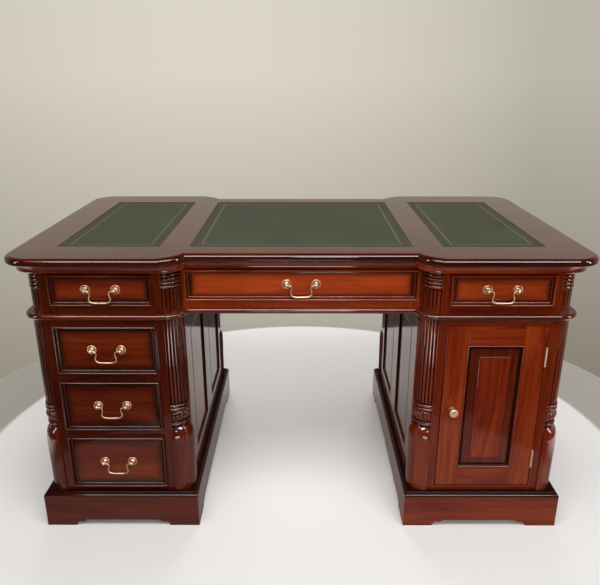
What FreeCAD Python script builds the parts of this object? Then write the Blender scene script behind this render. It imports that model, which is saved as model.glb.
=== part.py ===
import FreeCAD, Part
import math
import os

V = FreeCAD.Vector
same_point = 0.001

# Partners desk, in millimetres. X runs along the desk, one sitter's side is -Y (near) and the
# other is +Y (far), Z is up, and the origin is on the floor under the middle. The far side is
# the near side turned half a turn about Z: each pedestal has drawers on one face and a
# cupboard on the other.

# Overall size
desk_length = 1480.0
desk_depth = 832.0
desk_height = 790.0

# Top board and leathers
top_thickness = 19.0
top_outer_corner = 75.0         # plan radius at the four ends
top_break_width = 56.0          # of the turn where a wing falls back to the centre
top_break_depth = 54.0
top_break_bow = 6.0             # of that turn's curve, beyond a straight line
top_upper_round = 10.0
top_lower_round = 5.0
top_side_overhang = 38.0        # beyond the pedestal sides
top_face_overhang = 40.0        # beyond the pedestal faces
top_inner_overhang = 20.5       # beyond the pedestals, into the kneehole
top_centre_overhang = 39.0      # beyond the centre frieze
leather_thickness = 1.5
leather_recess = 0.8            # leather face below the wood
leather_face_margin = 122.0     # from the top's near and far edges to the leathers
wing_leather_margin = 110.0     # from the end of the top to a wing's leather
wing_leather_gap = 24.5         # from the joint of wing and centre to a wing's leather
centre_leather_gap = 52.5       # from that joint to the centre leather

# Heights of the bands, from the floor up
plinth_height = 92.4
plinth_cap_height = 15.6
bead_height = 15.0
frieze_height = 109.0
cornice_height = 27.0

# Pedestals
pedestal_width = 397.0
corner_size = 45.0              # square corner that a quarter column fills
frame_thickness = 22.0
board_thickness = 12.0
face_stile_width = 22.0
face_top_rail = 15.0
face_bottom_rail = 14.0
drawer_rail = 22.0
upper_drawer_height = 135.0
middle_drawer_height = 146.0

# Panelled sides
side_stile_width = 71.0
side_middle_stile = 96.0
side_top_rail = 71.0
side_bottom_rail = 61.0
panel_thickness = 9.0
panel_setback = 8.0
panel_moulding_width = 10.0

# Plinths
plinth_overhang = 16.6          # beyond the pedestal sides
plinth_face_overhang = 19.2     # beyond the pedestal faces
plinth_board = 20.0
plinth_cap_width = 42.0
foot_length = 83.0
foot_shoulder = 28.0            # length over which the arch rises
arch_height = 18.5

# Quarter columns
shaft_radius = 40.0
reed_depth = 3.0
reed_count = 6                  # reeds in a quarter turn
column_base_radius = 52.0
column_foot_radius = 50.5
column_shoulder_start = 155.0   # heights above the plinth cap
column_waist = 192.0
column_ring = 200.0
column_bulb = 210.0
column_bulb_height = 32.0
collar_ring_height = 11.0
ring_radius = 44.0
bulb_radius = 45.0
waist_radius = 38.0
frieze_ring_radius = 43.0
frieze_ring_height = 9.0
frieze_reed_length = 63.0
frieze_neck_radius = 35.0
frieze_cap_height = 5.0

# Frieze
frieze_inset = 3.0              # frieze planes behind the pedestal planes
centre_setback = 49.0           # centre face behind the pedestal faces
divider_thickness = 18.0
frieze_stile_width = 22.5
centre_stile_width = 17.0
frieze_bottom_rail = 24.5
frieze_top_rail = 2.5           # what shows under the cornice
dust_board = 6.0
cornice_projection = 33.0       # under the top board
cornice_ovolo = 22.0            # projection of its lower, rounded member
cornice_ovolo_height = 7.0
cornice_fillet_height = 3.0
cornice_foot = 4.0
bead_projection = 11.0
bead_foot = 2.5
bead_shoulder = 4.5

# Drawers
front_thickness = 22.0
field_proud = 2.0               # drawer field in front of the face frame
drawer_moulding_width = 10.5
drawer_moulding_height = 10.0
reveal = 1.0                    # gap round a drawer front
drawer_side_gap = 1.5           # box side to guide
drawer_top_gap = 8.0
drawer_back_gap = 12.0
seat_gap = 0.3                  # what slides rests this far above its seat
drawer_side = 11.0
drawer_bottom = 6.0
drawer_bottom_lift = 7.0        # bottom panel above the sides' lower edge
drawer_back_drop = 8.0          # back below the sides' upper edge
runner_bearing = 14.0           # runner reaches this far under a drawer
runner_height = 14.0
guide_height = 16.0

# Drawer pulls
rosette_radius = 12.5
rosette_spacing = 76.0
rosette_rim = 1.2
rosette_dome = 4.2
post_radius = 3.4
post_ball_radius = 4.8
post_reach = 13.0               # drawer field to the bail's axis
shank_radius = 2.5
shank_clearance = 0.1
nut_radius = 5.0
nut_thickness = 3.0
bail_radius = 1.9
bail_pin_radius = 1.5
pin_clearance = 0.05
bail_shoulder_gap = 0.3
bail_neck_half = 25.5
bail_bottom_half = 29.0
bail_drop = 31.5
bail_neck_drop = 11.0
bail_neck_bend = 6.0
bail_bottom_bend = 10.0
bail_waist_bend = 20.0

# Cupboard doors
door_gap = 2.0
door_stile = 58.0
door_top_rail = 56.0
door_bottom_rail = 59.0
door_moulding_width = 8.0
door_moulding_height = 6.0
door_panel_setback = 6.0
door_panel_thickness = 8.0
door_bevel_width = 24.0
door_bevel_rise = 4.5
stop_size = 14.0
stop_length = 60.0
knob_radius = 11.5
knob_reach = 28.0
knob_rose_radius = 8.0
knob_neck_radius = 4.5
hinge_length = 53.0
hinge_inset = 88.0              # hinge centre from the end of the opening
hinge_barrel_radius = 2.5
hinge_pin_radius = 1.2
hinge_leaf_thickness = 0.8
hinge_leaf_width = 16.0
hinge_barrel_gap = 0.2          # barrel in front of the wood
knuckle_gap = 0.3
shelf_thickness = 14.0
shelf_height = 230.0            # above the cupboard floor
shelf_clearance = 1.0
batten_size = 14.0

# Levels and planes that follow
cap_top = plinth_height + plinth_cap_height
cornice_top = desk_height - top_thickness
cornice_bottom = cornice_top - cornice_height
frieze_bottom = cornice_bottom - frieze_height
body_top = frieze_bottom - bead_height
outer_side = desk_length / 2 - top_side_overhang
inner_side = outer_side - pedestal_width
body_face = desk_depth / 2 - top_face_overhang
opening_low = cap_top + face_bottom_rail
opening_high = body_top - face_top_rail
column_x_outer = outer_side - corner_size
column_x_inner = inner_side + corner_size
column_y = body_face - corner_size
frieze_outer = outer_side - frieze_inset
frieze_inner = inner_side + frieze_inset
frieze_face = body_face - frieze_inset
centre_face = body_face - centre_setback
frieze_low = frieze_bottom + frieze_bottom_rail
frieze_high = cornice_bottom - frieze_top_rail
pedestal_middle = (outer_side + inner_side) / 2
pedestal_opening = column_x_outer - column_x_inner - 2 * face_stile_width
frieze_column_y = frieze_face - corner_size
wing_opening = frieze_outer - frieze_inner - 2 * corner_size - 2 * frieze_stile_width
centre_opening = 2 * (frieze_inner - centre_stile_width)
partition_half = board_thickness / 2
top_joint = inner_side - top_inner_overhang + top_break_width


def box(x0, x1, y0, y1, z0, z1):
    return Part.makeBox(x1 - x0, y1 - y0, z1 - z0, V(x0, y0, z0))


def half_turn(shape):
    return shape.rotated(V(0, 0, 0), V(0, 0, 1), 180)


def mirrored(shape):
    return shape.mirror(V(0, 0, 0), V(1, 0, 0))


def group(solids):
    return Part.makeCompound(solids)


def outline(place, start, *moves):
    # A closed face. A move is an end point, or a point on an arc and its end point, and place
    # turns each pair of numbers into a point in space.
    here = place(*start)
    edges = []
    for move in moves:
        if isinstance(move[0], tuple):
            end = place(*move[1])
            edges.append(Part.Arc(here, place(*move[0]), end).toShape())
        else:
            end = place(*move)
            if (end - here).Length > same_point:
                edges.append(Part.makeLine(here, end))
        here = end
    edges.append(Part.makeLine(here, place(*start)))
    return Part.Face(Part.Wire(edges))


def upright(a, b):
    return V(a, 0, b)


def rounded_ring(section, x0, x1, y0, y1, radius):
    # The lengths of a moulding round a rectangle with rounded corners: turned corners and
    # straight runs. The section's X is the distance out from the rectangle's line.
    left, right = x0 + radius, x1 - radius
    near, far = y0 + radius, y1 - radius
    start = section.translated(V(radius, 0, 0))
    bend = start.revolve(V(0, 0, 0), V(0, 0, 1), 90)
    corners = [(right, far, 0), (left, far, 90), (left, near, 180), (right, near, 270)]
    runs = [(right, near, 0, far - near), (right, far, 90, right - left),
            (left, far, 180, far - near), (left, near, 270, right - left)]
    pieces = []
    for x, y, angle in corners:
        pieces.append(bend.rotated(V(0, 0, 0), V(0, 0, 1), angle).translated(V(x, y, 0)))
    for x, y, angle, length in runs:
        run = start.extrude(V(0, length, 0))
        pieces.append(run.rotated(V(0, 0, 0), V(0, 0, 1), angle).translated(V(x, y, 0)))
    return pieces


def mitred_frame(section, strip_width, strip_height, length, height):
    # Four mitred strips round a rectangle centred on the origin in the XZ plane, proud
    # towards -Y. The section is drawn as (distance in from the edge, height).
    strips = []
    for angle, run, offset in ((0, length, height), (90, height, length),
                               (180, length, height), (270, height, length)):
        half, low = run / 2, -offset / 2
        bar = outline(lambda u, v: V(-half, -v, low + u), *section).extrude(V(run, 0, 0))
        inner = low + strip_width
        wedge = Part.makePolygon([V(-half, 1, low), V(half, 1, low),
                                  V(half - strip_width, 1, inner),
                                  V(strip_width - half, 1, inner), V(-half, 1, low)])
        wedge = Part.Face(wedge).extrude(V(0, -strip_height - 2, 0))
        strip = bar.common(wedge).Solids[0]
        strips.append(strip.rotated(V(0, 0, 0), V(0, 1, 0), angle))
    return strips


# Top ------------------------------------------------------------------------------------

def rounded_slab(slab, chosen):
    # Round the chosen level edges of a slab, above and below.
    for level, radius in ((desk_height, top_upper_round), (cornice_top, top_lower_round)):
        edges = []
        for edge in slab.Edges:
            bounds = edge.BoundBox
            if max(abs(bounds.ZMin - level), abs(bounds.ZMax - level)) < same_point and chosen(edge):
                edges.append(edge)
        slab = slab.makeFillet(radius, edges)
    return slab


def wing_plan():
    # One half of a wing's outline, from the kneehole round to its end.
    start, side = top_joint, desk_depth / 2
    inner, back = start - top_break_width, side - top_break_depth
    chord = math.hypot(top_break_width, top_break_depth)
    bow = ((start + inner - 2 * top_break_bow * top_break_depth / chord) / 2,
           (side + back + 2 * top_break_bow * top_break_width / chord) / 2)
    end, radius = desk_length / 2, top_outer_corner
    fall = radius * (1 - math.sqrt(0.5))
    return (inner, back), bow, (start, side), (end - radius, side), (end - fall, side - fall), (end, side - radius)


def wing_top():
    near = [(x, -y) for x, y in wing_plan()]
    far = wing_plan()
    face = outline(lambda x, y: V(x, y, cornice_top), near[0], (near[1], near[2]), near[3], (near[4], near[5]),
                   far[5], (far[4], far[3]), far[2], (far[1], far[0]))
    return rounded_slab(face.extrude(V(0, 0, top_thickness)), lambda edge: True)


def centre_top():
    half = top_joint
    y = centre_face + top_centre_overhang
    slab = box(-half, half, -y, y, cornice_top, desk_height)
    return rounded_slab(slab, lambda edge: edge.BoundBox.XLength > 1)


def leather_beds():
    # Plan rectangles of the three leathers, as (x0, x1, y0, y1).
    y = desk_depth / 2 - leather_face_margin
    end, start = desk_length / 2 - wing_leather_margin, top_joint + wing_leather_gap
    half = top_joint - centre_leather_gap
    return [(-end, -start, -y, y), (-half, half, -y, y), (start, end, -y, y)]


def top_board():
    centre = centre_top()
    right = wing_top().cut(centre).Solids[0]
    boards = [mirrored(right), centre, right]
    depth = leather_thickness + leather_recess
    finished = []
    for board, bed in zip(boards, leather_beds()):
        pocket = box(*bed, desk_height - depth, desk_height + 1)
        finished.append(board.cut(pocket).Solids[0])
    return group(finished)


def writing_leathers():
    high = desk_height - leather_recess
    return group([box(*bed, high - leather_thickness, high) for bed in leather_beds()])


# Mouldings ------------------------------------------------------------------------------

def cornice_section():
    # From below: a rounded member, a fillet and a cove that runs out under the top.
    low, wide, deep = cornice_bottom, cornice_ovolo, cornice_projection
    fillet = low + cornice_ovolo_height
    cove = fillet + cornice_fillet_height
    belly = (0.75 * wide, low + 0.47 * cornice_ovolo_height)
    hollow = (wide + 0.35 * (deep - wide), cove + 0.55 * (cornice_top - cove))
    return outline(upright, (0, low), (cornice_foot, low), (belly, (wide, fillet)), (wide, cove),
                   (hollow, (deep, cornice_top)), (0, cornice_top))


def straight_length(section, half, y, rings):
    # A moulding along the near side of the centre, scribed to the mouldings of the wings.
    bar = section.rotated(V(0, 0, 0), V(0, 0, 1), -90).translated(V(-half, -y, 0))
    bar = bar.extrude(V(2 * half, 0, 0))
    for piece in rings:
        left_over = bar.cut(piece).cut(mirrored(piece)).Solids
        bar = max(left_over, key=lambda solid: solid.Volume)
    return bar


def cornice_moulding():
    # Round each wing and across the centre, with no length inside the frieze.
    section = cornice_section()
    ring = rounded_ring(section, frieze_inner, frieze_outer, -frieze_face, frieze_face, corner_size)
    lengths = [piece for piece in ring if piece.BoundBox.XMax > frieze_inner + corner_size / 2]
    bar = straight_length(section, frieze_inner, centre_face, lengths)
    return group(lengths + [mirrored(piece) for piece in lengths] + [bar, half_turn(bar)])


def bead_section():
    low, high = body_top, frieze_bottom
    rise = bead_height
    return outline(upright, (-frame_thickness, low), (bead_foot, low),
                   ((0.82 * bead_projection, low + 0.21 * rise), (bead_projection, low + 0.55 * rise)),
                   ((0.83 * bead_projection, low + 0.85 * rise), (bead_shoulder, high)),
                   (-frame_thickness, high))


def waist_bead():
    section = bead_section()
    ring = rounded_ring(section, inner_side, outer_side, -body_face, body_face, corner_size)
    bar = straight_length(section, inner_side, centre_face, ring)
    return group(ring + [mirrored(piece) for piece in ring] + [bar, half_turn(bar)])


def plinth_cap():
    # A flat mitred frame under each pedestal, moulded along its outer edge.
    rise = plinth_cap_height
    inset = plinth_overhang - (column_base_radius - corner_size)
    section = ((0, 0), (0, 0.25 * rise), ((0.2 * inset, 0.55 * rise), (0.5 * inset, 0.6 * rise)),
               (0.55 * inset, 0.7 * rise), ((0.68 * inset, 0.9 * rise), (inset, rise)),
               (plinth_cap_width, rise), (plinth_cap_width, 0))
    strips = mitred_frame(section, plinth_cap_width, rise, pedestal_width + 2 * plinth_overhang,
                          2 * (body_face + plinth_face_overhang))
    laid = [s.rotated(V(0, 0, 0), V(1, 0, 0), -90) for s in strips]
    right = group(laid).translated(V(pedestal_middle, 0, plinth_height))
    return group([right, mirrored(right)])


# Quarter columns ------------------------------------------------------------------------

def dome(start, end):
    # Move along a sphere about the turning axis, between two (radius, height) points.
    (r0, h0), (r1, h1) = start, end
    centre = (r0 * r0 - r1 * r1 + h0 * h0 - h1 * h1) / (2 * (h0 - h1))
    radius = math.hypot(r0, h0 - centre)
    turn = (math.atan2(r0, h0 - centre) + math.atan2(r1, h1 - centre)) / 2
    return ((radius * math.sin(turn), centre + radius * math.cos(turn)), end)


def reeded_shaft(low, high):
    step = 90.0 / reed_count
    valley = shaft_radius - reed_depth

    def polar(radius, angle):
        turn = math.radians(angle)
        return (radius * math.cos(turn), radius * math.sin(turn))

    moves = [polar(valley, 0)]
    for reed in range(reed_count):
        crest = polar(shaft_radius, (reed + 0.5) * step)
        moves.append((crest, polar(valley, (reed + 1) * step)))
    face = outline(lambda a, b: V(a, b, low), (0, 0), *moves)
    return face.extrude(V(0, 0, high - low))


def half_round(radius, low, high):
    # Moves of a half-round ring that stands on a core.
    core = radius - (high - low) / 2
    return [(core, low), ((radius, (low + high) / 2), (core, high))]


def quarter_turned(low, high, moves):
    face = outline(upright, (0, low), *moves, (0, high))
    return face.revolve(V(0, 0, 0), V(0, 0, 1), 90)


def pedestal_column():
    low = cap_top
    shoulder, waist = low + column_shoulder_start, low + column_waist
    ring, bulb = low + column_ring, low + column_bulb
    collar = bulb + column_bulb_height
    middle = collar + collar_ring_height
    shaft = middle + collar_ring_height
    bow = (column_base_radius - 0.12 * (column_base_radius - waist_radius),
           shoulder + 0.5 * (waist - shoulder))
    moves = [(column_foot_radius, low), (column_base_radius, shoulder), (bow, (waist_radius, waist)),
             (waist_radius, ring)]
    moves += half_round(ring_radius - 2, ring, bulb)
    moves += [(waist_radius - 1, bulb),
              ((bulb_radius, bulb + 0.4 * column_bulb_height), (waist_radius - 1, collar))]
    moves += half_round(ring_radius, collar, middle)
    moves += half_round(ring_radius, middle, shaft)
    turned = quarter_turned(low, shaft, moves)
    return turned.fuse(reeded_shaft(shaft, body_top)).Solids[0]


def frieze_column():
    top = cornice_bottom
    low = frieze_bottom
    reed_top = low + frieze_reed_length
    neck_low = reed_top + 3 * frieze_ring_height
    neck_high = top - frieze_cap_height
    moves = []
    for ring in range(3):
        start = reed_top + ring * frieze_ring_height
        moves += half_round(frieze_ring_radius, start, start + frieze_ring_height)
    hollow = (frieze_neck_radius, (neck_low + neck_high) / 2)
    moves += [(shaft_radius, neck_low), (hollow, (shaft_radius, neck_high))]
    moves += half_round(frieze_ring_radius, neck_high, top)
    turned = quarter_turned(reed_top, top, moves)
    return turned.fuse(reeded_shaft(low, reed_top)).Solids[0]


def at_corners(quarter, x_inner, x_outer, y):
    # The quarter piece at the four corners of the right-hand block, and mirrored to the left.
    placed = []
    for x, side_y, angle in ((x_outer, y, 0), (x_inner, y, 90), (x_inner, -y, 180), (x_outer, -y, 270)):
        placed.append(quarter.rotated(V(0, 0, 0), V(0, 0, 1), angle).translated(V(x, side_y, 0)))
    return placed + [mirrored(shape) for shape in placed]


def pedestal_columns():
    return group(at_corners(pedestal_column(), column_x_inner, column_x_outer, column_y))


def frieze_columns():
    return group(at_corners(frieze_column(), frieze_inner + corner_size,
                            frieze_outer - corner_size, frieze_column_y))


# Carcasses ------------------------------------------------------------------------------

def notched_board(x0, x1, y, notch_x, notch_y, z0, z1):
    # A board that stops short of the four quarter columns.
    board = box(x0, x1, -y, y, z0, z1)
    corners = [box(x0 - 1, notch_x[0], -y - 1, -notch_y, z0 - 1, z1 + 1),
               box(x0 - 1, notch_x[0], notch_y, y + 1, z0 - 1, z1 + 1),
               box(notch_x[1], x1 + 1, -y - 1, -notch_y, z0 - 1, z1 + 1),
               box(notch_x[1], x1 + 1, notch_y, y + 1, z0 - 1, z1 + 1)]
    return board.cut(group(corners)).Solids[0]


def side_frame(x0, x1):
    # Stiles, rails and middle stile of one panelled side, between the planes x0 and x1.
    stile = column_y - side_stile_width
    rail_low, rail_high = cap_top + side_bottom_rail, body_top - side_top_rail
    return [box(x0, x1, -column_y, -stile, cap_top, body_top),
            box(x0, x1, stile, column_y, cap_top, body_top),
            box(x0, x1, -stile, stile, cap_top, rail_low),
            box(x0, x1, -stile, stile, rail_high, body_top),
            box(x0, x1, -side_middle_stile / 2, side_middle_stile / 2, rail_low, rail_high)]


def face_frame(far):
    # Stiles and outer rails of a pedestal face on the left-hand pedestal.
    side = 1 if far else -1
    y0, y1 = sorted((side * body_face, side * (body_face - frame_thickness)))
    x0, x1 = -column_x_outer, -column_x_inner
    inner0, inner1 = x0 + face_stile_width, x1 - face_stile_width
    return [box(x0, inner0, y0, y1, cap_top, body_top),
            box(inner1, x1, y0, y1, cap_top, body_top),
            box(inner0, inner1, y0, y1, cap_top, opening_low),
            box(inner0, inner1, y0, y1, opening_high, body_top)]


def drawer_levels():
    # Low and high edges of the three pedestal drawer openings, from the top down.
    levels = []
    high = opening_high
    for height in (upper_drawer_height, middle_drawer_height):
        levels.append((high - height, high))
        high -= height + drawer_rail
    levels.append((opening_low, high))
    return levels


def left_pedestal_carcass():
    back = body_face - frame_thickness
    x0, x1 = -outer_side + frame_thickness, -inner_side - frame_thickness
    solids = side_frame(-outer_side, x0) + side_frame(x1, -inner_side)
    solids += face_frame(False) + face_frame(True)
    inner0, inner1 = -column_x_outer + face_stile_width, -column_x_inner - face_stile_width
    for low, high in drawer_levels()[:2]:
        solids.append(box(inner0, inner1, -body_face, -back, low - drawer_rail, low))
    notch_x = (-column_x_outer, -column_x_inner)
    for low, high in ((cap_top, opening_low), (opening_high, body_top)):
        solids.append(notched_board(x0, x1, back, notch_x, column_y, low, high))
    solids.append(box(x0, x1, -partition_half, partition_half, opening_low, opening_high))
    stop_y = back - stop_size
    solids.append(box(-pedestal_middle - stop_length / 2, -pedestal_middle + stop_length / 2,
                      stop_y, back - seat_gap, opening_high - stop_size, opening_high))
    return group(solids)


def side_panel():
    # A pedestal side's panel and its four moulding strips, facing -Y, centred on the origin.
    width = column_y - side_stile_width - side_middle_stile / 2
    height = body_top - side_top_rail - cap_top - side_bottom_rail
    plate = box(-width / 2, width / 2, panel_setback, panel_setback + panel_thickness,
                -height / 2, height / 2)
    w, rise = panel_moulding_width, panel_setback
    section = ((0, 0), (0, rise), (0.2 * w, rise), ((0.7 * w, 0.75 * rise), (0.85 * w, 0.25 * rise)),
               (w, 0.2 * rise), (w, 0))
    strips = mitred_frame(section, w, rise, width, height)
    return [plate] + [strip.translated(V(0, panel_setback, 0)) for strip in strips]


def pedestal_panels():
    y = (side_middle_stile / 2 + column_y - side_stile_width) / 2
    z = (cap_top + side_bottom_rail + body_top - side_top_rail) / 2
    placed = []
    for piece in side_panel():
        facing_out = piece.rotated(V(0, 0, 0), V(0, 0, 1), 90)
        facing_in = piece.rotated(V(0, 0, 0), V(0, 0, 1), -90)
        for side in (-1, 1):
            placed.append(facing_out.translated(V(outer_side, side * y, z)))
            placed.append(facing_in.translated(V(inner_side, side * y, z)))
    return group(placed + [mirrored(shape) for shape in placed])


def frieze_carcass():
    low, high = frieze_bottom, cornice_top
    back, end = frieze_face - frame_thickness, frieze_outer - frame_thickness
    divider = frieze_inner + divider_thickness
    centre_back = centre_face - frame_thickness
    column_inner, column_outer = frieze_inner + corner_size, frieze_outer - corner_size
    open0, open1 = column_inner + frieze_stile_width, column_outer - frieze_stile_width
    half = centre_opening / 2
    # Right-hand wing
    wing = [box(end, frieze_outer, -frieze_column_y, frieze_column_y, low, high),
            box(frieze_inner, divider, -frieze_column_y, frieze_column_y, low, high),
            box(divider, end, -partition_half, partition_half, low + dust_board, high),
            notched_board(divider, end, back, (column_inner, column_outer), frieze_column_y,
                          low, low + dust_board)]
    near = [box(column_inner, open0, -frieze_face, -back, low, high),
            box(open1, column_outer, -frieze_face, -back, low, high),
            box(open0, open1, -frieze_face, -back, low, frieze_low),
            box(open0, open1, -frieze_face, -back, frieze_high, high)]
    wing += near
    wing += [shape.mirror(V(0, 0, 0), V(0, 1, 0)) for shape in near]
    # Blocks over the columns, behind the cornice
    block = outline(upright, (0, cornice_bottom), (corner_size, cornice_bottom),
                    (corner_size, high), (0, high)).revolve(V(0, 0, 0), V(0, 0, 1), 90)
    blocks = at_corners(block, column_inner, column_outer, frieze_column_y)
    # Centre section
    face = [box(-frieze_inner, -half, -centre_face, -centre_back, low, high),
            box(half, frieze_inner, -centre_face, -centre_back, low, high),
            box(-half, half, -centre_face, -centre_back, low, frieze_low),
            box(-half, half, -centre_face, -centre_back, frieze_high, high)]
    centre = [box(-frieze_inner, frieze_inner, -centre_back, centre_back, low, low + dust_board),
              box(-frieze_inner, frieze_inner, -partition_half, partition_half,
                  low + dust_board, high)]
    solids = wing + [mirrored(shape) for shape in wing] + blocks
    return group(solids + face + [half_turn(shape) for shape in face] + centre)


def runner_pair(x_middle, opening, outside, y_front, level, with_runner):
    # Two runners and two guides under one near-side drawer. outside is how far the guides
    # reach beyond the opening.
    solids = []
    for side in (-1, 1):
        edge = x_middle + side * opening / 2
        far_edge = edge + side * outside
        guide = sorted((edge, far_edge))
        solids.append(box(*guide, y_front, -partition_half, level, level + guide_height))
        if with_runner:
            runner = sorted((edge - side * runner_bearing, far_edge))
            solids.append(box(*runner, y_front, -partition_half, level - runner_height, level))
    return solids


def pedestal_runners():
    solids = []
    levels = [low for low, high in drawer_levels()]
    for level in levels:
        solids += runner_pair(-pedestal_middle, pedestal_opening, face_stile_width,
                              frame_thickness - body_face, level, level > opening_low)
    return group(solids + [half_turn(shape) for shape in solids])


def frieze_runners():
    solids = []
    wing_back = frame_thickness - frieze_face
    centre_back = frame_thickness - centre_face
    middle = (frieze_outer + frieze_inner) / 2
    for x in (-middle, middle):
        solids += runner_pair(x, wing_opening, frieze_stile_width, wing_back, frieze_low, True)
    solids += runner_pair(0, centre_opening, centre_stile_width, centre_back, frieze_low, True)
    return group(solids + [half_turn(shape) for shape in solids])


def cupboard_space():
    # The near-side cupboard in the right-hand pedestal, as (x0, x1, y_back).
    return inner_side + frame_thickness, outer_side - frame_thickness, -partition_half


def cupboard_shelves():
    x0, x1, back = cupboard_space()
    level = opening_low + shelf_height
    shelf = box(x0 + shelf_clearance, x1 - shelf_clearance, -column_y + shelf_clearance,
                back - shelf_clearance, level, level + shelf_thickness)
    return group([shelf, half_turn(shelf)])


def shelf_battens():
    x0, x1, back = cupboard_space()
    level = opening_low + shelf_height
    front = -column_y + side_stile_width
    pair = [box(x0, x0 + batten_size, front, back, level - batten_size, level),
            box(x1 - batten_size, x1, front, back, level - batten_size, level)]
    return group(pair + [half_turn(shape) for shape in pair])


# Plinths --------------------------------------------------------------------------------

def bracket(thickness):
    # One bracket foot, drawn along +X from the corner, in front of y = 0.
    length, rise, shoulder = foot_length, arch_height, foot_shoulder
    face = outline(upright, (0, 0), (length, 0), (length, 0.25 * rise),
                   ((length + 0.2 * shoulder, 0.6 * rise), (length + 0.5 * shoulder, 0.7 * rise)),
                   ((length + 0.85 * shoulder, 0.78 * rise), (length + shoulder, rise)), (0, rise))
    return face.extrude(V(0, thickness, 0))


def right_plinth():
    x0, x1 = inner_side - plinth_overhang, outer_side + plinth_overhang
    y, t = body_face + plinth_face_overhang, plinth_board
    boards = [box(x0, x1, -y, t - y, arch_height, plinth_height),
              box(x0, x1, y - t, y, arch_height, plinth_height),
              box(x0, x0 + t, t - y, y - t, arch_height, plinth_height),
              box(x1 - t, x1, t - y, y - t, arch_height, plinth_height)]
    foot = bracket(t)
    other = foot.mirror(V(0, 0, 0), V(1, 0, 0))
    near = [foot.translated(V(x0, -y, 0)), other.translated(V(x1, -y, 0))]
    turned = foot.rotated(V(0, 0, 0), V(0, 0, 1), 90)
    turned_other = other.rotated(V(0, 0, 0), V(0, 0, 1), 90)
    clear = box(x0 - 1, x1 + 1, t - y, y - t, -1, arch_height + 1)
    side = [turned.translated(V(x1, -y, 0)), turned_other.translated(V(x1, y, 0))]
    side = [shape.common(clear).Solids[0] for shape in side]
    middle = V(pedestal_middle, 0, 0)
    pair = near + side
    return group(boards + pair + [s.rotated(middle, V(0, 0, 1), 180) for s in pair])


# Drawers --------------------------------------------------------------------------------

def drawer_section():
    w, h = drawer_moulding_width, drawer_moulding_height
    return ((0, 0), (0, 0.7 * h), ((0.1 * w, 0.93 * h), (0.32 * w, h)), (0.45 * w, h),
            ((0.6 * w, 0.95 * h), (0.66 * w, 0.75 * h)), ((0.78 * w, 0.45 * h), (w, 0.3 * h)), (w, 0))


def drawer_box(x, opening, low, high, face):
    # A near-side drawer: front board, mitred moulding, sides, back and bottom.
    field = -face - field_proud
    behind = field + front_thickness
    half = opening / 2 - reveal
    z0, z1 = low + reveal, high - reveal
    board = box(x - half, x + half, field, behind, z0, z1)
    for post_x in pull_places(x):
        hole = Part.makeCylinder(shank_radius + shank_clearance, front_thickness + 2,
                                 V(post_x, field - 1, (low + high) / 2), V(0, 1, 0))
        board = board.cut(hole)
    strips = mitred_frame(drawer_section(), drawer_moulding_width, drawer_moulding_height,
                          2 * half, z1 - z0)
    place = V(x, field, (z0 + z1) / 2)
    solids = [board.Solids[0]] + [strip.translated(place) for strip in strips]
    wide = opening / 2 - drawer_side_gap
    end = -partition_half - drawer_back_gap
    base, top = low + seat_gap, high - drawer_top_gap
    inner = wide - drawer_side
    panel = base + drawer_bottom_lift
    solids += [box(x - wide, x - inner, behind, end, base, top),
               box(x + inner, x + wide, behind, end, base, top),
               box(x - inner, x + inner, end - drawer_side, end, panel + drawer_bottom,
                   top - drawer_back_drop),
               box(x - inner, x + inner, behind, end, panel, panel + drawer_bottom)]
    return group(solids)


def pull_places(x):
    return (x - rosette_spacing / 2, x + rosette_spacing / 2)


def pull_post():
    # Rosette, ball post and shank turned in one piece, facing -Y, with the bail's bore.
    r, ball = post_radius, post_ball_radius
    neck = post_reach - math.sqrt(ball * ball - r * r)
    tail = -front_thickness - nut_thickness - 1
    face = outline(lambda a, b: V(a, -b, 0), (0, tail), (shank_radius, tail), (shank_radius, 0),
                   (rosette_radius, 0), (rosette_radius, rosette_rim),
                   dome((rosette_radius, rosette_rim), (r + 1.5, rosette_dome)),
                   (r, rosette_dome + 1.5), (r, neck), ((ball, post_reach), (0, post_reach + ball)))
    post = face.revolve(V(0, 0, 0), V(0, 1, 0), 360)
    bore = Part.makeCylinder(bail_pin_radius + pin_clearance, 4 * ball,
                             V(-2 * ball, -post_reach, 0), V(1, 0, 0))
    return post.cut(bore).Solids[0]


def pull_nut():
    corners = [V(nut_radius * math.cos(math.radians(60 * n)), 0,
                 nut_radius * math.sin(math.radians(60 * n))) for n in range(7)]
    blank = Part.Face(Part.makePolygon(corners)).extrude(V(0, nut_thickness, 0))
    hole = Part.makeCylinder(shank_radius + shank_clearance, nut_thickness + 2, V(0, -1, 0),
                             V(0, 1, 0))
    return blank.cut(hole).Solids[0]


def pulls(x, z, face):
    field = -face - field_proud
    solids = []
    for post_x in pull_places(x):
        solids.append(pull_post().translated(V(post_x, field, z)))
        solids.append(pull_nut().translated(V(post_x, field + front_thickness, z)))
    return group(solids)


def rounded_path(points, bends):
    # Straight runs through the points in the XZ plane, with a tangent arc at each inner one.
    here = points[0]
    edges = []
    for before, corner, after, bend in zip(points, points[1:], points[2:], bends):
        a = (before - corner).normalize()
        b = (after - corner).normalize()
        half = a.getAngle(b) / 2
        reach = bend / math.tan(half)
        middle = corner + (a + b).normalize() * (bend / math.sin(half) - bend)
        start, end = corner + a * reach, corner + b * reach
        if (start - here).Length > 0.01:
            edges.append(Part.makeLine(here, start))
        edges.append(Part.Arc(start, middle, end).toShape())
        here = end
    edges.append(Part.makeLine(here, points[-1]))
    return Part.Wire(edges)


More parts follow.
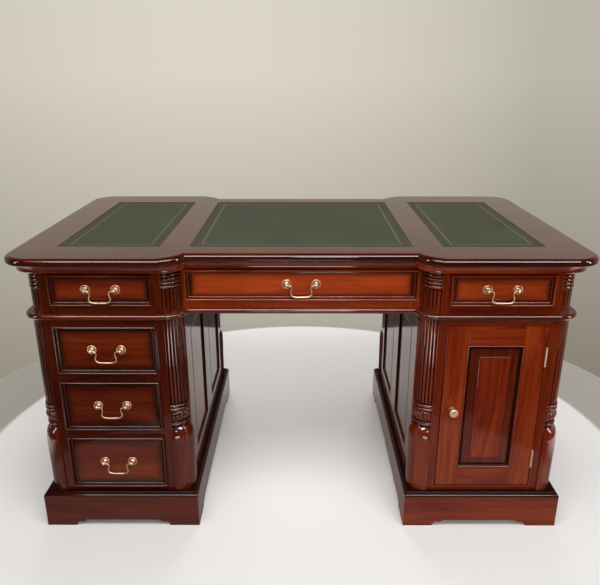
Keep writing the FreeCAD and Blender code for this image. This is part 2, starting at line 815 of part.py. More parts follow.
def bail():
    # Swan-neck bail hanging in the XZ plane from pins on the X axis.
    start = rosette_spacing / 2 - post_ball_radius - bail_shoulder_gap
    neck, wide = bail_neck_half, bail_bottom_half
    half = [V(start, 0, 0), V(neck, 0, 0), V(neck, 0, -bail_neck_drop), V(wide, 0, -bail_drop)]
    points = half + [V(-p.x, 0, p.z) for p in reversed(half)]
    bends = [bail_neck_bend, bail_waist_bend, bail_bottom_bend]
    path = rounded_path(points, bends + bends[::-1])
    circle = Part.Wire(Part.makeCircle(bail_radius, points[0], V(1, 0, 0)))
    rod = path.makePipeShell([circle], True, False)
    pin_length = post_ball_radius + bail_shoulder_gap + 0.7 * post_ball_radius
    pins = [Part.makeCylinder(bail_pin_radius, pin_length, V(start, 0, 0), V(1, 0, 0)),
            Part.makeCylinder(bail_pin_radius, pin_length, V(-start, 0, 0), V(-1, 0, 0))]
    return rod.multiFuse(pins).Solids[0]


def near_drawers():
    # Name, middle X, opening width, low and high edges and face plane of each near drawer.
    middle = (frieze_outer + frieze_inner) / 2
    rows = [("left_frieze_drawer", -middle, wing_opening, frieze_low, frieze_high, frieze_face),
            ("centre_frieze_drawer", 0.0, centre_opening, frieze_low, frieze_high, centre_face),
            ("right_frieze_drawer", middle, wing_opening, frieze_low, frieze_high, frieze_face)]
    for name, (low, high) in zip(("upper_drawer", "middle_drawer", "lower_drawer"), drawer_levels()):
        rows.append((name, -pedestal_middle, pedestal_opening, low, high, body_face))
    return rows


# Doors ----------------------------------------------------------------------------------

def door_edges():
    # The near door on the right-hand pedestal, as (x0, x1, z0, z1).
    half = pedestal_opening / 2 - door_gap
    return (pedestal_middle - half, pedestal_middle + half, opening_low + door_gap,
            opening_high - door_gap)


def door_leaf():
    x0, x1, z0, z1 = door_edges()
    y0, y1 = -body_face, frame_thickness - body_face
    in0, in1 = x0 + door_stile, x1 - door_stile
    low, high = z0 + door_bottom_rail, z1 - door_top_rail
    solids = [box(x0, in0, y0, y1, z0, z1), box(in1, x1, y0, y1, z0, z1),
              box(in0, in1, y0, y1, z0, low), box(in0, in1, y0, y1, high, z1)]
    return group(solids + [door_panel(in0, in1, low, high)])


def door_panel(x0, x1, z0, z1):
    # Raised and fielded panel with a mitred moulding round it.
    y = door_panel_setback - body_face
    width, height = x1 - x0, z1 - z0
    plate = box(x0, x1, y, y + door_panel_thickness, z0, z1)
    w, rise = door_moulding_width, door_moulding_height
    section = ((0, 0), (0, rise), (0.25 * w, rise), ((0.75 * w, 0.75 * rise), (w, 0.1 * rise)), (w, 0))
    place = V((x0 + x1) / 2, y, (z0 + z1) / 2)
    strips = [s.translated(place) for s in mitred_frame(section, w, rise, width, height)]
    outer, inner = w, w + door_bevel_width

    def rectangle(inset, level):
        corners = [V(x0 + inset, level, z0 + inset), V(x1 - inset, level, z0 + inset),
                   V(x1 - inset, level, z1 - inset), V(x0 + inset, level, z1 - inset)]
        return Part.makePolygon(corners + corners[:1])

    bevel = Part.makeLoft([rectangle(outer, y), rectangle(inner, y - door_bevel_rise)], True, True)
    field = box(x0 + inner + 1, x1 - inner - 1, y - door_bevel_rise - 1.2, y, z0 + inner + 1,
                z1 - inner - 1)
    return plate.multiFuse(strips + [bevel, field]).removeSplitter().Solids[0]


def door_knob():
    x0, x1, z0, z1 = door_edges()
    r, rose, neck, reach = knob_radius, knob_rose_radius, knob_neck_radius, knob_reach
    face = outline(lambda a, b: V(a, -b, 0), (0, 0), (rose, 0), (rose, 0.05 * reach),
                   ((0.65 * rose, 0.14 * reach), (neck, 0.28 * reach)), (neck, 0.36 * reach),
                   ((0.65 * r, 0.43 * reach), (r, 0.64 * reach)), (r, 0.7 * reach),
                   dome((r, 0.7 * reach), (0, reach)))
    knob = face.revolve(V(0, 0, 0), V(0, 1, 0), 360)
    return knob.translated(V(x0 + door_stile / 2, -body_face, (z0 + z1) / 2))


def hinge_axis():
    x1 = door_edges()[1]
    return x1 + door_gap / 2, -body_face - hinge_barrel_radius - hinge_barrel_gap


def hinge_levels():
    return (opening_low + hinge_inset, opening_high - hinge_inset)


def hinge_leaf(side, spans):
    # A leaf against one edge of the gap, with its knuckles over the given height spans.
    x, y = hinge_axis()
    face = x + side * door_gap / 2
    plate_x = sorted((face, face - side * hinge_leaf_thickness))
    front, back = -body_face, hinge_leaf_width - body_face
    half = hinge_length / 2
    leaf = box(*plate_x, front, back, -half, half)
    for low, high in spans:
        leaf = leaf.fuse(Part.makeCylinder(hinge_barrel_radius, high - low, V(x, y, low)))
        leaf = leaf.fuse(box(*plate_x, y, front + 1, low, high))
    return leaf


def hinge_spans():
    # Outer knuckles of the fixed leaf and the door leaf's knuckle between them.
    half = hinge_length / 2
    third = hinge_length / 6
    outer = [(-half, -third - knuckle_gap / 2), (third + knuckle_gap / 2, half)]
    return outer, [(-third + knuckle_gap / 2, third - knuckle_gap / 2)]


def pin_of_hinge(radius):
    x, y = hinge_axis()
    return Part.makeCylinder(radius, hinge_length, V(x, y, -hinge_length / 2))


def door_hinge_leaves():
    leaf = hinge_leaf(-1, hinge_spans()[1]).cut(pin_of_hinge(hinge_pin_radius + pin_clearance))
    return group([leaf.Solids[0].translated(V(0, 0, z)) for z in hinge_levels()])


def fixed_hinge_leaves():
    leaf = hinge_leaf(1, hinge_spans()[0]).fuse(pin_of_hinge(hinge_pin_radius))
    near = [leaf.Solids[0].translated(V(0, 0, z)) for z in hinge_levels()]
    return group(near + [half_turn(shape) for shape in near])


# All nodes ------------------------------------------------------------------------------

def moving_nodes():
    near = {}
    for name, x, opening, low, high, face in near_drawers():
        z = (low + high) / 2
        near[name] = drawer_box(x, opening, low, high, face)
        near[name + "_pulls"] = pulls(x, z, face)
        axis_y = -face - field_proud - post_reach
        near[name + "_bail"] = bail().translated(V(x, axis_y, z))
    near["door"] = door_leaf()
    near["door_knob"] = door_knob()
    near["door_hinge_leaves"] = door_hinge_leaves()
    nodes = {"near_" + name: shape for name, shape in near.items()}
    nodes.update({"far_" + name: half_turn(shape) for name, shape in near.items()})
    return nodes


def fixed_nodes():
    left = left_pedestal_carcass()
    plinth = right_plinth()
    return {"top_board": top_board(),
            "writing_leathers": writing_leathers(),
            "cornice_moulding": cornice_moulding(),
            "frieze_carcass": frieze_carcass(),
            "frieze_columns": frieze_columns(),
            "frieze_runners": frieze_runners(),
            "waist_bead": waist_bead(),
            "left_pedestal_carcass": left,
            "right_pedestal_carcass": half_turn(left),
            "pedestal_columns": pedestal_columns(),
            "pedestal_panels": pedestal_panels(),
            "pedestal_runners": pedestal_runners(),
            "cupboard_shelves": cupboard_shelves(),
            "shelf_battens": shelf_battens(),
            "fixed_hinge_leaves": fixed_hinge_leaves(),
            "plinth_cap_moulding": plinth_cap(),
            "right_plinth": plinth,
            "left_plinth": half_turn(plinth)}


def main():
    os.makedirs("parts", exist_ok=True)
    nodes = fixed_nodes()
    nodes.update(moving_nodes())
    for name, shape in nodes.items():
        shape.exportStep(os.path.join("parts", name + ".step"))
    print(len(nodes), "nodes written")


main()
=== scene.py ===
import math
import random

import bmesh
import bpy
from mathutils import Matrix, Vector


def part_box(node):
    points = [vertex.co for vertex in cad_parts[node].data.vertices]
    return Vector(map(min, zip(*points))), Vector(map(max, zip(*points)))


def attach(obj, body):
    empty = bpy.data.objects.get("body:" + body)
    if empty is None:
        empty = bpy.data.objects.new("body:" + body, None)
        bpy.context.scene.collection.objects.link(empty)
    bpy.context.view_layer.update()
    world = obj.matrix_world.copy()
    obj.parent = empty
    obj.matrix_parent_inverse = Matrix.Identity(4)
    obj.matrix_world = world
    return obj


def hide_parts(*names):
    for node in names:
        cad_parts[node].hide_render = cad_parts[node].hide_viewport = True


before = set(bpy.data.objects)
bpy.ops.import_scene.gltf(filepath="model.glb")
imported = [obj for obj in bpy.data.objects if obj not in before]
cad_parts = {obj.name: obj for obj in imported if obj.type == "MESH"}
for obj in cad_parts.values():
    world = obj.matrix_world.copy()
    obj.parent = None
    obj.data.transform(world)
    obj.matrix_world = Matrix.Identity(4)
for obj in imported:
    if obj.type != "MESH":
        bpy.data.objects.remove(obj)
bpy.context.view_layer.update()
scene = bpy.context.scene
mm = 0.001

# Camera, floor and light

shot = {"place": (-0.0004, -1.848, 1.2113), "tilt": 70.64, "turn": 0.113, "lens": 37.42}

cameraData = bpy.data.cameras.new("deskCamera")
cameraData.sensor_width = 36
cameraData.lens = shot["lens"]
camera = bpy.data.objects.new("deskCamera", cameraData)
camera.location = shot["place"]
camera.rotation_euler = (math.radians(shot["tilt"]), 0, math.radians(shot["turn"]))
scene.collection.objects.link(camera)
scene.camera = camera
scene.view_settings.view_transform = "Standard"


def addNode(tree, kind, sockets=None, **settings):
    # A shader node with its settings, and its sockets linked or set.
    made = tree.nodes.new("ShaderNode" + kind)
    for name, value in settings.items():
        setattr(made, name, value)
    for name, value in (sockets or {}).items():
        if isinstance(value, bpy.types.NodeSocket):
            tree.links.new(value, made.inputs[name])
        else:
            made.inputs[name].default_value = value
    return made


def fed(kind, sockets, output=0, **settings):
    # One output of a new node, in the tree that feeds it.
    feeds = [value for value in sockets.values() if isinstance(value, bpy.types.NodeSocket)]
    return addNode(feeds[0].id_data, kind, sockets, **settings).outputs[output]


def reckon(operation, a, b=0.0, clamp=False):
    return fed("Math", {0: a, 1: b}, operation=operation, use_clamp=clamp)


def times(a, b, clamp=False):
    return reckon("MULTIPLY", a, b, clamp)


def plus(a, b):
    return reckon("ADD", a, b)


def larger(a, b):
    return reckon("MAXIMUM", a, b)


def ranged(value, low=0.0, high=1.0, toLow=0.0, toHigh=1.0):
    sockets = {"Value": value, "From Min": low, "From Max": high, "To Min": toLow, "To Max": toHigh}
    return fed("MapRange", sockets)


def blendColour(factor, a, b, mode="MIX"):
    a, b = ((*colour, 1) if isinstance(colour, tuple) else colour for colour in (a, b))
    return fed("Mix", {0: factor, 6: a, 7: b}, 2, data_type="RGBA", blend_type=mode)


def timesColour(a, b):
    return blendColour(1.0, a, b, "MULTIPLY")


def rampOf(factor, stops):
    made = fed("ValToRGB", {"Fac": factor})
    places = made.node.color_ramp.elements
    while len(places) < len(stops):
        places.new(0.5)
    for place, (at, colour) in zip(places, stops):
        place.position = at
        place.color = (*colour, 1)
    return made


def noiseOn(place, scale, detail=3.0, roughness=0.5, distortion=0.0):
    scale = scale if isinstance(scale, tuple) else (scale,) * 3
    spread = fed("Mapping", {"Vector": place, "Scale": scale})
    return fed("TexNoise", {"Vector": spread, "Scale": 1.0, "Detail": detail,
                            "Roughness": roughness, "Distortion": distortion})


def bumpFrom(height, strength, distance):
    return fed("Bump", {"Height": height, "Strength": strength, "Distance": distance})


def placeOn(tree):
    return addNode(tree, "TexCoord").outputs["Object"]


def painted(tree, name, kind="Fac"):
    # A value that the piece carries: its grain, tone or edge, or its glaze, stain and painted
    # shade.
    return addNode(tree, "Attribute", attribute_name=name).outputs[kind]


def newMaterial(name):
    made = bpy.data.materials.new(name)
    made.use_nodes = True
    made.node_tree.nodes.clear()
    return made, made.node_tree


def surfaceOf(sockets):
    shader = fed("BsdfPrincipled", sockets)
    addNode(shader.id_data, "OutputMaterial", {"Surface": shader})


floorLook = {
    "radius": 1.363, "platform": 1.07, "rim": 60, "pale": (0.86, 0.84, 0.81),
    "cloud": (0.74, 0.73, 0.72), "cloudScale": 1.3, "cloudShare": 0.16, "outer": (0.40, 0.37, 0.32),
    "rough": 0.45, "inGloss": (0.30, 0.28, 0.265), "rearInGloss": (0.62, 0.59, 0.56),
    "rear": (-0.3, 0.5), "outerInGloss": (0.03, 0.027, 0.024), "sideInGloss": (1.7, 1.45, 1.35),
    "side": (1, 1.1)}

floorMesh = bpy.data.meshes.new("studioFloor")
floorShape = bmesh.new()
bmesh.ops.create_circle(floorShape, cap_ends=True, segments=128, radius=floorLook["radius"])
floorShape.to_mesh(floorMesh)
floorShape.free()
floor = bpy.data.objects.new("studioFloor", floorMesh)
scene.collection.objects.link(floor)

floorPaint, tree = newMaterial("studioFloor")
place = placeOn(tree)
parts = fed("SeparateXYZ", {0: place}).node.outputs
reach = fed("VectorMath", {0: place}, "Value", operation="LENGTH")
beyond = reckon("SUBTRACT", reach, floorLook["platform"])
beyond = times(beyond, floorLook["rim"], clamp=True)
cloud = times(noiseOn(place, floorLook["cloudScale"], 2), floorLook["cloudShare"])
pale = blendColour(cloud, floorLook["pale"], floorLook["cloud"])
pale = blendColour(beyond, pale, floorLook["outer"])
# Painted reflection: glossy rays see the floor dimmer in front and lighter behind, near-black
# beyond the platform, and brighter than white out to the sides, which paints glints on the reeds.
rear = ranged(parts["Y"], *floorLook["rear"])
dull = blendColour(rear, floorLook["inGloss"], floorLook["rearInGloss"])
dull = blendColour(beyond, dull, floorLook["outerInGloss"])
aside = ranged(reckon("ABSOLUTE", parts["X"]), *floorLook["side"])
dull = blendColour(aside, dull, floorLook["sideInGloss"])
mirrored = addNode(tree, "LightPath").outputs["Is Glossy Ray"]
surfaceOf({"Base Color": blendColour(mirrored, pale, dull), "Roughness": floorLook["rough"]})
floorMesh.materials.append(floorPaint)

worldLook = {
    "low": (0.33, 0.30, 0.235), "high": (0.69, 0.65, 0.56), "horizon": (-0.42, 0), "side": 1.35,
    "lean": 0.35, "darkest": 0.72, "front": 0.035, "behind": 0.45, "turn": (-0.3, 0.5),
    "above": 0.012, "over": (0.24, 0.66), "fill": 0.27, "warm": (1, 0.93, 0.80)}

world = bpy.data.worlds.new("studio")
scene.world = world
world.use_nodes = True
tree = world.node_tree
tree.nodes.clear()
heading = addNode(tree, "TexCoord").outputs["Generated"]
parts = fed("SeparateXYZ", {0: heading}).node.outputs
# Painted light and shade on the backdrop: the wall the camera sees is lighter high up, darker low
# down and towards the sides, most of all to the right. Diffuse rays see an even fill, and glossy
# rays a world dark in front and overhead and lighter behind.
rise = ranged(parts["Z"], *worldLook["horizon"])
seen = blendColour(rise, worldLook["low"], worldLook["high"])
bowed = reckon("POWER", reckon("ABSOLUTE", parts["X"]), 2.0)
across = plus(times(bowed, -worldLook["side"]), times(parts["X"], -worldLook["lean"]))
seen = timesColour(seen, larger(plus(across, 1.0), worldLook["darkest"]))
back = ranged(parts["Y"], *worldLook["turn"], worldLook["front"], worldLook["behind"])
top = ranged(parts["Z"], *worldLook["over"])
glow = blendColour(top, back, (worldLook["above"],) * 3)
glow = timesColour(glow, worldLook["warm"])
path = addNode(tree, "LightPath").outputs
soft = blendColour(path["Is Diffuse Ray"], glow, (worldLook["fill"],) * 3)
shine = blendColour(path["Is Camera Ray"], soft, seen)
addNode(tree, "OutputWorld", {"Surface": fed("Background", {"Color": shine, "Strength": 1.0})})

# Each lamp's place, aim, size and power, and the kind of ray that doesn't see it.
lampLook = {
    "overheadBank": ((0.1, -1.2, 2.45), (0, -0.3, 0.5), (3.2, 0.9), 46, None),
    "ceilingLine": ((0.1, -1.6, 2.45), (0, -0.35, 0.6), (3.2, 0.32), 62, "diffuse"),
    "windowFront": ((0.15, -2.3, 1.85), (0, -0.35, 0.7), (0.36, 0.36), 8, "diffuse"),
    "stripRight": ((2.3, -1, 1.25), (0, -0.3, 0.6), (0.22, 1.7), 20, "diffuse"),
    "stripLeft": ((-2.3, -1.3, 1.25), (0, -0.3, 0.6), (0.22, 1.7), 14, "diffuse"),
    "lowFront": ((0, -1.35, 0.085), (0, 0, 0.3), (0.46, 0.15), 2.2, "diffuse"),
    "frontFill": ((0.9, -3.2, 2), (0, 0, 0.45), (2.6, 1.6), 46, "glossy"),
    "rearFill": ((0, 2.5, 1.9), (0, -0.3, 0), (2.6, 1.2), 62, "glossy"),
}
for name, (place, aim, size, power, leftOut) in lampLook.items():
    lampData = bpy.data.lights.new(name, "AREA")
    lampData.shape = "RECTANGLE"
    lampData.size, lampData.size_y = size
    lampData.energy = power
    lamp = bpy.data.objects.new(name, lampData)
    lamp.location = place
    lamp.rotation_euler = (Vector(aim) - Vector(place)).to_track_quat("-Z", "Y").to_euler()
    lamp.visible_glossy = leftOut != "glossy"
    lamp.visible_diffuse = leftOut != "diffuse"
    lamp.visible_camera = False
    scene.collection.objects.link(lamp)
print("camera, floor and lamps are set")

# Finishes

# A noise is given by its scale, detail, roughness and distortion, a bump by strength and distance.
hollowLook = {"open": 0.90, "closed": 0.50, "most": 0.92, "samples": 6}
woodLook = {
    "deep": (0.050, 0.0022, 0.0012), "red": (0.115, 0.0085, 0.0018),
    "orange": (0.195, 0.024, 0.0038), "light": (0.32, 0.056, 0.009),
    "glaze": (0.008, 0.0012, 0.0010),
    "stops": ((0.30, "deep"), (0.45, "red"), (0.60, "orange"), (0.80, "light")),
    "drift": ((2, 7, 7), 2, 0.5, 0.8), "driftShare": 0.46, "bend": 0.05,
    "broad": ((3.5, 62, 62), 4, 0.55, 0.5), "broadShare": 0.46, "lift": 0.03,
    "streak": ((9, 260, 260), 3, 0.6, 0.2), "streakShare": 0.12,
    "pores": ((60, 1500, 1500), 2, 0.5), "poreEdge": (0.34, 0.46), "poreShade": 0.72,
    "toneDepth": 0.6, "toneLight": 0.16, "rub": 0.4, "patches": 0.4, "glazeMost": 0.9,
    "hollow": 0.008, "rough": (0.22, 0.38), "relief": (0.12, 0.0004), "peel": (90, 1),
    "skin": (0.03, 0.001)}


def hollowOf(tree, reach):
    # How deep a spot lies in a hollow of its own piece, where polish gathers and where shade is
    # painted in.
    look = hollowLook
    openness = addNode(tree, "AmbientOcclusion", {"Distance": reach},
                       samples=look["samples"], only_local=True).outputs["AO"]
    return ranged(openness, look["open"], look["closed"], 0.0, look["most"])


def polishedMahogany(name, coat):
    look = woodLook
    made, tree = newMaterial(name)
    grain = painted(tree, "grain", "Vector")
    tone = painted(tree, "tone")
    glaze = larger(painted(tree, "glaze"), painted(tree, "stain"))
    drift = noiseOn(grain, *look["drift"])
    swing = times(drift, look["bend"])
    shift = fed("CombineXYZ", {"Y": swing, "Z": swing})
    bent = fed("VectorMath", {0: grain, 1: shift}, operation="ADD")
    broad = noiseOn(bent, *look["broad"])
    streak = noiseOn(bent, *look["streak"])
    figure = plus(times(broad, look["broadShare"]), times(streak, look["streakShare"]))
    figure = plus(plus(figure, look["lift"]), times(drift, look["driftShare"]))
    wood = rampOf(figure, [(at, look[colour]) for at, colour in look["stops"]])
    fleck = ranged(noiseOn(bent, *look["pores"]), *look["poreEdge"], look["poreShade"])
    wood = timesColour(wood, fleck)
    wood = timesColour(wood, plus(times(tone, look["toneDepth"]), 1.0))
    wood = blendColour(times(tone, look["toneLight"], clamp=True), wood, look["light"])
    rub = times(painted(tree, "edge"), times(broad, look["rub"]))
    wood = blendColour(rub, wood, look["light"])
    # Glaze and painted shade: the piece's glaze-and-shade values and its own hollows blend the wood
    # towards near-black.
    uneven = times(reckon("SUBTRACT", drift, 0.5), look["patches"])
    shade = times(plus(glaze, uneven), glaze, clamp=True)
    shade = larger(times(shade, look["glazeMost"]), hollowOf(tree, look["hollow"]))
    wood = blendColour(shade, wood, look["glaze"])
    rough = ranged(drift, 0.0, 1.0, *look["rough"])
    relief = bumpFrom(plus(streak, fleck), *look["relief"])
    skin = bumpFrom(noiseOn(grain, *look["peel"]), *look["skin"])
    surfaceOf({"Base Color": wood, "Roughness": rough, "Specular IOR Level": 0.02, "Normal": relief,
               "Coat Weight": coat, "Coat Roughness": 0.06, "Coat IOR": 1.5, "Coat Normal": skin})
    return made


timberLook = {
    "stops": ((0.34, (0.20, 0.10, 0.045)), (0.52, (0.36, 0.20, 0.095)), (0.70, (0.50, 0.31, 0.16))),
    "broad": ((3, 50, 50), 4, 0.55, 0.6), "broadShare": 0.75, "fine": ((30, 900, 900), 2),
    "fineShare": 0.25, "toneDepth": 0.2, "relief": (0.25, 0.0004), "rough": (0.5, 0.7)}


def insideTimber():
    # Plain secondary timber of boxes and runners, oiled and unpolished.
    look = timberLook
    made, tree = newMaterial("insideTimber")
    grain = painted(tree, "grain", "Vector")
    broad = noiseOn(grain, *look["broad"])
    fine = noiseOn(grain, *look["fine"])
    figure = plus(times(broad, look["broadShare"]), times(fine, look["fineShare"]))
    depth = plus(times(painted(tree, "tone"), look["toneDepth"]), 1.0)
    wood = timesColour(rampOf(figure, look["stops"]), depth)
    surfaceOf({"Base Color": wood, "Roughness": ranged(broad, 0.0, 1.0, *look["rough"]),
               "Normal": bumpFrom(fine, *look["relief"])})
    return made


brassLook = {
    "pale": (0.76, 0.50, 0.31), "warm": (0.52, 0.31, 0.18), "brown": (0.09, 0.035, 0.015),
    "stops": ((0.30, "warm"), (0.62, "pale")), "cloud": (160, 3, 0.6), "speck": (900, 2),
    "glazeShare": 0.6, "hollow": 0.003, "rough": (0.22, 0.38), "relief": (0.05, 0.0002)}


def lacqueredBrass(name, metallic):
    look = brassLook
    made, tree = newMaterial(name)
    cloud = noiseOn(placeOn(tree), *look["cloud"])
    speck = noiseOn(placeOn(tree), *look["speck"])
    metal = rampOf(cloud, [(at, look[colour]) for at, colour in look["stops"]])
    # Tarnish and painted shade: the brass goes brown in its own hollows and where the piece carries
    # glaze-and-shade values, in the dish of a rosette and on a knob's stem.
    dull = times(painted(tree, "glaze"), look["glazeShare"])
    dull = larger(dull, hollowOf(tree, look["hollow"]))
    metal = blendColour(dull, metal, look["brown"])
    surfaceOf({"Base Color": metal, "Metallic": metallic,
               "Roughness": ranged(cloud, 0.0, 1.0, *look["rough"]),
               "Normal": bumpFrom(speck, *look["relief"])})
    return made


leatherLook = {
    "dark": (0.030, 0.036, 0.017), "green": (0.052, 0.058, 0.030), "border": (0.052, 0.050, 0.024),
    "gold": (0.17, 0.155, 0.095), "cloud": (9, 4, 0.6, 0.5), "pebbles": 520, "pebbleEdge": 0.25,
    "pebbleShade": (0.75, 1.05), "rough": (0.36, 0.52), "relief": (0.18, 0.0004),
    "rubbing": (240, 3, 0.6), "strokes": 70, "strokeEdge": (0.35, 0.6), "leafRelief": (0.2, 0.0003)}


def greenLeather(name, clear):
    look = leatherLook
    made, tree = newMaterial(name)
    place = placeOn(tree)
    cloud = noiseOn(place, *look["cloud"])
    spread = fed("Mapping", {"Vector": place, "Scale": (look["pebbles"],) * 3})
    cells = fed("TexVoronoi", {"Vector": spread, "Scale": 1.0}, feature="DISTANCE_TO_EDGE")
    pebble = ranged(cells, 0.0, look["pebbleEdge"])
    hide = rampOf(cloud, ((0.30, look["dark"]), (0.70, look[clear])))
    hide = timesColour(hide, ranged(pebble, 0.0, 1.0, *look["pebbleShade"]))
    surfaceOf({"Base Color": hide, "Roughness": ranged(cloud, 0.0, 1.0, *look["rough"]),
               "Normal": bumpFrom(pebble, *look["relief"]), "Specular IOR Level": 0.22})
    return made


def toolingGold(name, isRope):
    # Gold leaf pressed into the hide: plain lines, and slanting strokes between them.
    look = leatherLook
    made, tree = newMaterial(name)
    place = placeOn(tree)
    rub = noiseOn(place, *look["rubbing"])
    leaf = rampOf(rub, ((0.30, look["border"]), (0.46, look["gold"])))
    if isRope:
        stroke = fed("TexWave", {"Vector": place, "Scale": look["strokes"]}, "Fac",
                     bands_direction="DIAGONAL")
        leaf = blendColour(ranged(stroke, *look["strokeEdge"]), look["border"], leaf)
    surfaceOf({"Base Color": leaf, "Metallic": 0.3, "Roughness": 0.45,
               "Normal": bumpFrom(rub, *look["leafRelief"])})
    return made


mahogany = polishedMahogany("polishedMahogany", 1.0)
# A less glossy copy of the mahogany for the faces painted darkest, so that painted shade in grooves
# and slopes catches no reflections.
deepPolish = polishedMahogany("deepPolish", 0.14)
timber = insideTimber()
brass = lacqueredBrass("lacqueredBrass", 0.85)
rubbedBrass = lacqueredBrass("rubbedBrass", 0.4)
hide = greenLeather("greenLeather", "green")
hideBorder = greenLeather("greenLeatherBorder", "border")
gold = toolingGold("toolingGold", False)
ropeGold = toolingGold("toolingRope", True)
print("finishes are made")

# Boards

chance = random.Random(20)
sides = (("near", -1), ("far", 1))
boardLook = {"edgeRound": 0.7 * mm, "mostRound": 0.12, "sharpAngle": 38, "flatAngle": 0.4,
             "merge": 0.01 * mm, "plainFaces": 16, "leastKept": 0.9, "baseTone": -0.75,
             "toneSpread": 0.35, "grainReach": 4}


def boardsOf(node):
    # The closed solids of a node, one after another, each as its list of faces.
    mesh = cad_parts[node].data
    spots = [vert.co.copy() for vert in mesh.vertices]
    keys = [tuple(round(c / mm * 1000) for c in spot) for spot in spots]
    boards, current, waiting = [], [], {}
    for face in mesh.polygons:
        corners = list(face.vertices)
        current.append([spots[i] for i in corners])
        for a, b in zip(corners, corners[1:] + corners[:1]):
            there, back = (keys[a], keys[b]), (keys[b], keys[a])
            if waiting.get(back):
                waiting[back] -= 1
                if not waiting[back]:
                    del waiting[back]
            elif there != back:
                waiting[there] = waiting.get(there, 0) + 1
        if not waiting:
            boards.append(current)
            current = []
    return boards


def spanOf(spots):
    # The lowest and the highest corner of some spots.
    lines = list(zip(*spots))
    return Vector([min(line) for line in lines]), Vector([max(line) for line in lines])


def corners(shape):
    return spanOf([vert.co for vert in shape.verts])


def boardSpan(faces):
    return spanOf([spot for spots in faces for spot in spots])


def faceLevel(low, high, side):
    # Y of the face turned to the near sitter (side -1) or to the far one (side 1).
    return low.y if side < 0 else high.y


def plainBox(low, high):
    shape = bmesh.new()
    place = Matrix.Translation((low + high) / 2) @ Matrix.Diagonal((*(high - low), 1))
    bmesh.ops.create_cube(shape, size=1, matrix=place)
    return shape


def turnBy(shape, degrees, axis):
    turning = Matrix.Rotation(math.radians(degrees), 3, axis)
    bmesh.ops.rotate(shape, verts=shape.verts, cent=(0, 0, 0), matrix=turning)


def moveBy(shape, x, y, z):
    bmesh.ops.translate(shape, verts=shape.verts, vec=(x, y, z))


def insetOf(shape, face, thickness, depth=0.0):
    return bmesh.ops.inset_individual(shape, faces=[face], thickness=thickness, depth=depth,
                                      use_even_offset=True)["faces"]


def isSharp(edge):
    limit = math.radians(boardLook["sharpAngle"])
    return edge.is_manifold and edge.calc_face_angle() > limit


def markSharp(shape):
    for face in shape.faces:
        face.smooth = True
    for edge in shape.edges:
        if isSharp(edge):
            edge.smooth = False


def roundEdges(shape, width):
    # Eased arrises: every sharp edge gets a small round.
    layer = shape.faces.layers.float.new("edge")
    sharp = [edge for edge in shape.edges if isSharp(edge)]
    made = bmesh.ops.bevel(shape, geom=sharp, offset=width, offset_type="OFFSET", segments=2,
                           profile=0.5, affect="EDGES", clamp_overlap=True, material=-1)
    for face in made["faces"]:
        face[layer] = 1.0


def layGrain(shape, along=None, tone=None):
    # Grain coordinates: the first runs along the board, and each board starts at its own place.
    low, high = corners(shape)
    size = high - low
    if along is None:
        along = max(range(3), key=lambda i: size[i])
    across = [i for i in range(3) if i != along]
    start = Vector([chance.uniform(0, boardLook["grainReach"]) for i in range(3)])
    own = boardLook["baseTone"] + chance.uniform(-1, 1) * boardLook["toneSpread"]
    grain = shape.verts.layers.float_vector.new("grain")
    toneLayer = shape.verts.layers.float.new("tone")
    for vert in shape.verts:
        vert[grain] = start + Vector((vert.co[along], vert.co[across[0]], vert.co[across[1]]))
        vert[toneLayer] = own if tone is None else tone


def boardShape(faces, edgeRound):
    shape = bmesh.new()
    for spots in faces:
        shape.faces.new([shape.verts.new(spot) for spot in spots])
    bmesh.ops.remove_doubles(shape, verts=shape.verts, dist=boardLook["merge"])
    bmesh.ops.dissolve_limit(shape, angle_limit=math.radians(boardLook["flatAngle"]),
                             use_dissolve_boundaries=False, verts=shape.verts, edges=shape.edges)
    low, high = corners(shape)
    width = min(edgeRound, boardLook["mostRound"] * min(high - low))
    if width and len(shape.faces) <= boardLook["plainFaces"]:
        eased = shape.copy()
        roundEdges(eased, width)
        easedLow, easedHigh = corners(eased)
        grown = (easedLow - low).length + (easedHigh - high).length
        kept = eased.calc_volume() / shape.calc_volume()
        if grown < boardLook["merge"] and kept > boardLook["leastKept"]:
            shape.free()
            return eased
        eased.free()
    return shape


def addTo(whole, shape):
    # Joins a finished shape to the piece it belongs to.
    passing = bpy.data.meshes.new("passing")
    shape.to_mesh(passing)
    shape.free()
    whole.from_mesh(passing)
    bpy.data.meshes.remove(passing)


def newWhole():
    whole = bmesh.new()
    whole.verts.layers.float_vector.new("grain")
    for name in ("tone", "glaze"):
        whole.verts.layers.float.new(name)
    for name in ("edge", "stain"):
        whole.faces.layers.float.new(name)
    return whole


def makePiece(name, whole, finishes, body, slotName, *nodes):
    markSharp(whole)
    mesh = bpy.data.meshes.new(name)
    whole.to_mesh(mesh)
    whole.free()
    for finish in finishes:
        mesh.materials.append(finish)
    piece = bpy.data.objects.new(name, mesh)
    scene.collection.objects.link(piece)
    evened = piece.modifiers.new("evenShading", "WEIGHTED_NORMAL")
    evened.keep_sharp = True
    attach(piece, body)
    mesh.validate()
    if nodes:
        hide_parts(*nodes)


def camel(node):
    first, *rest = node.split("_")
    return first + "".join(word.capitalize() for word in rest)


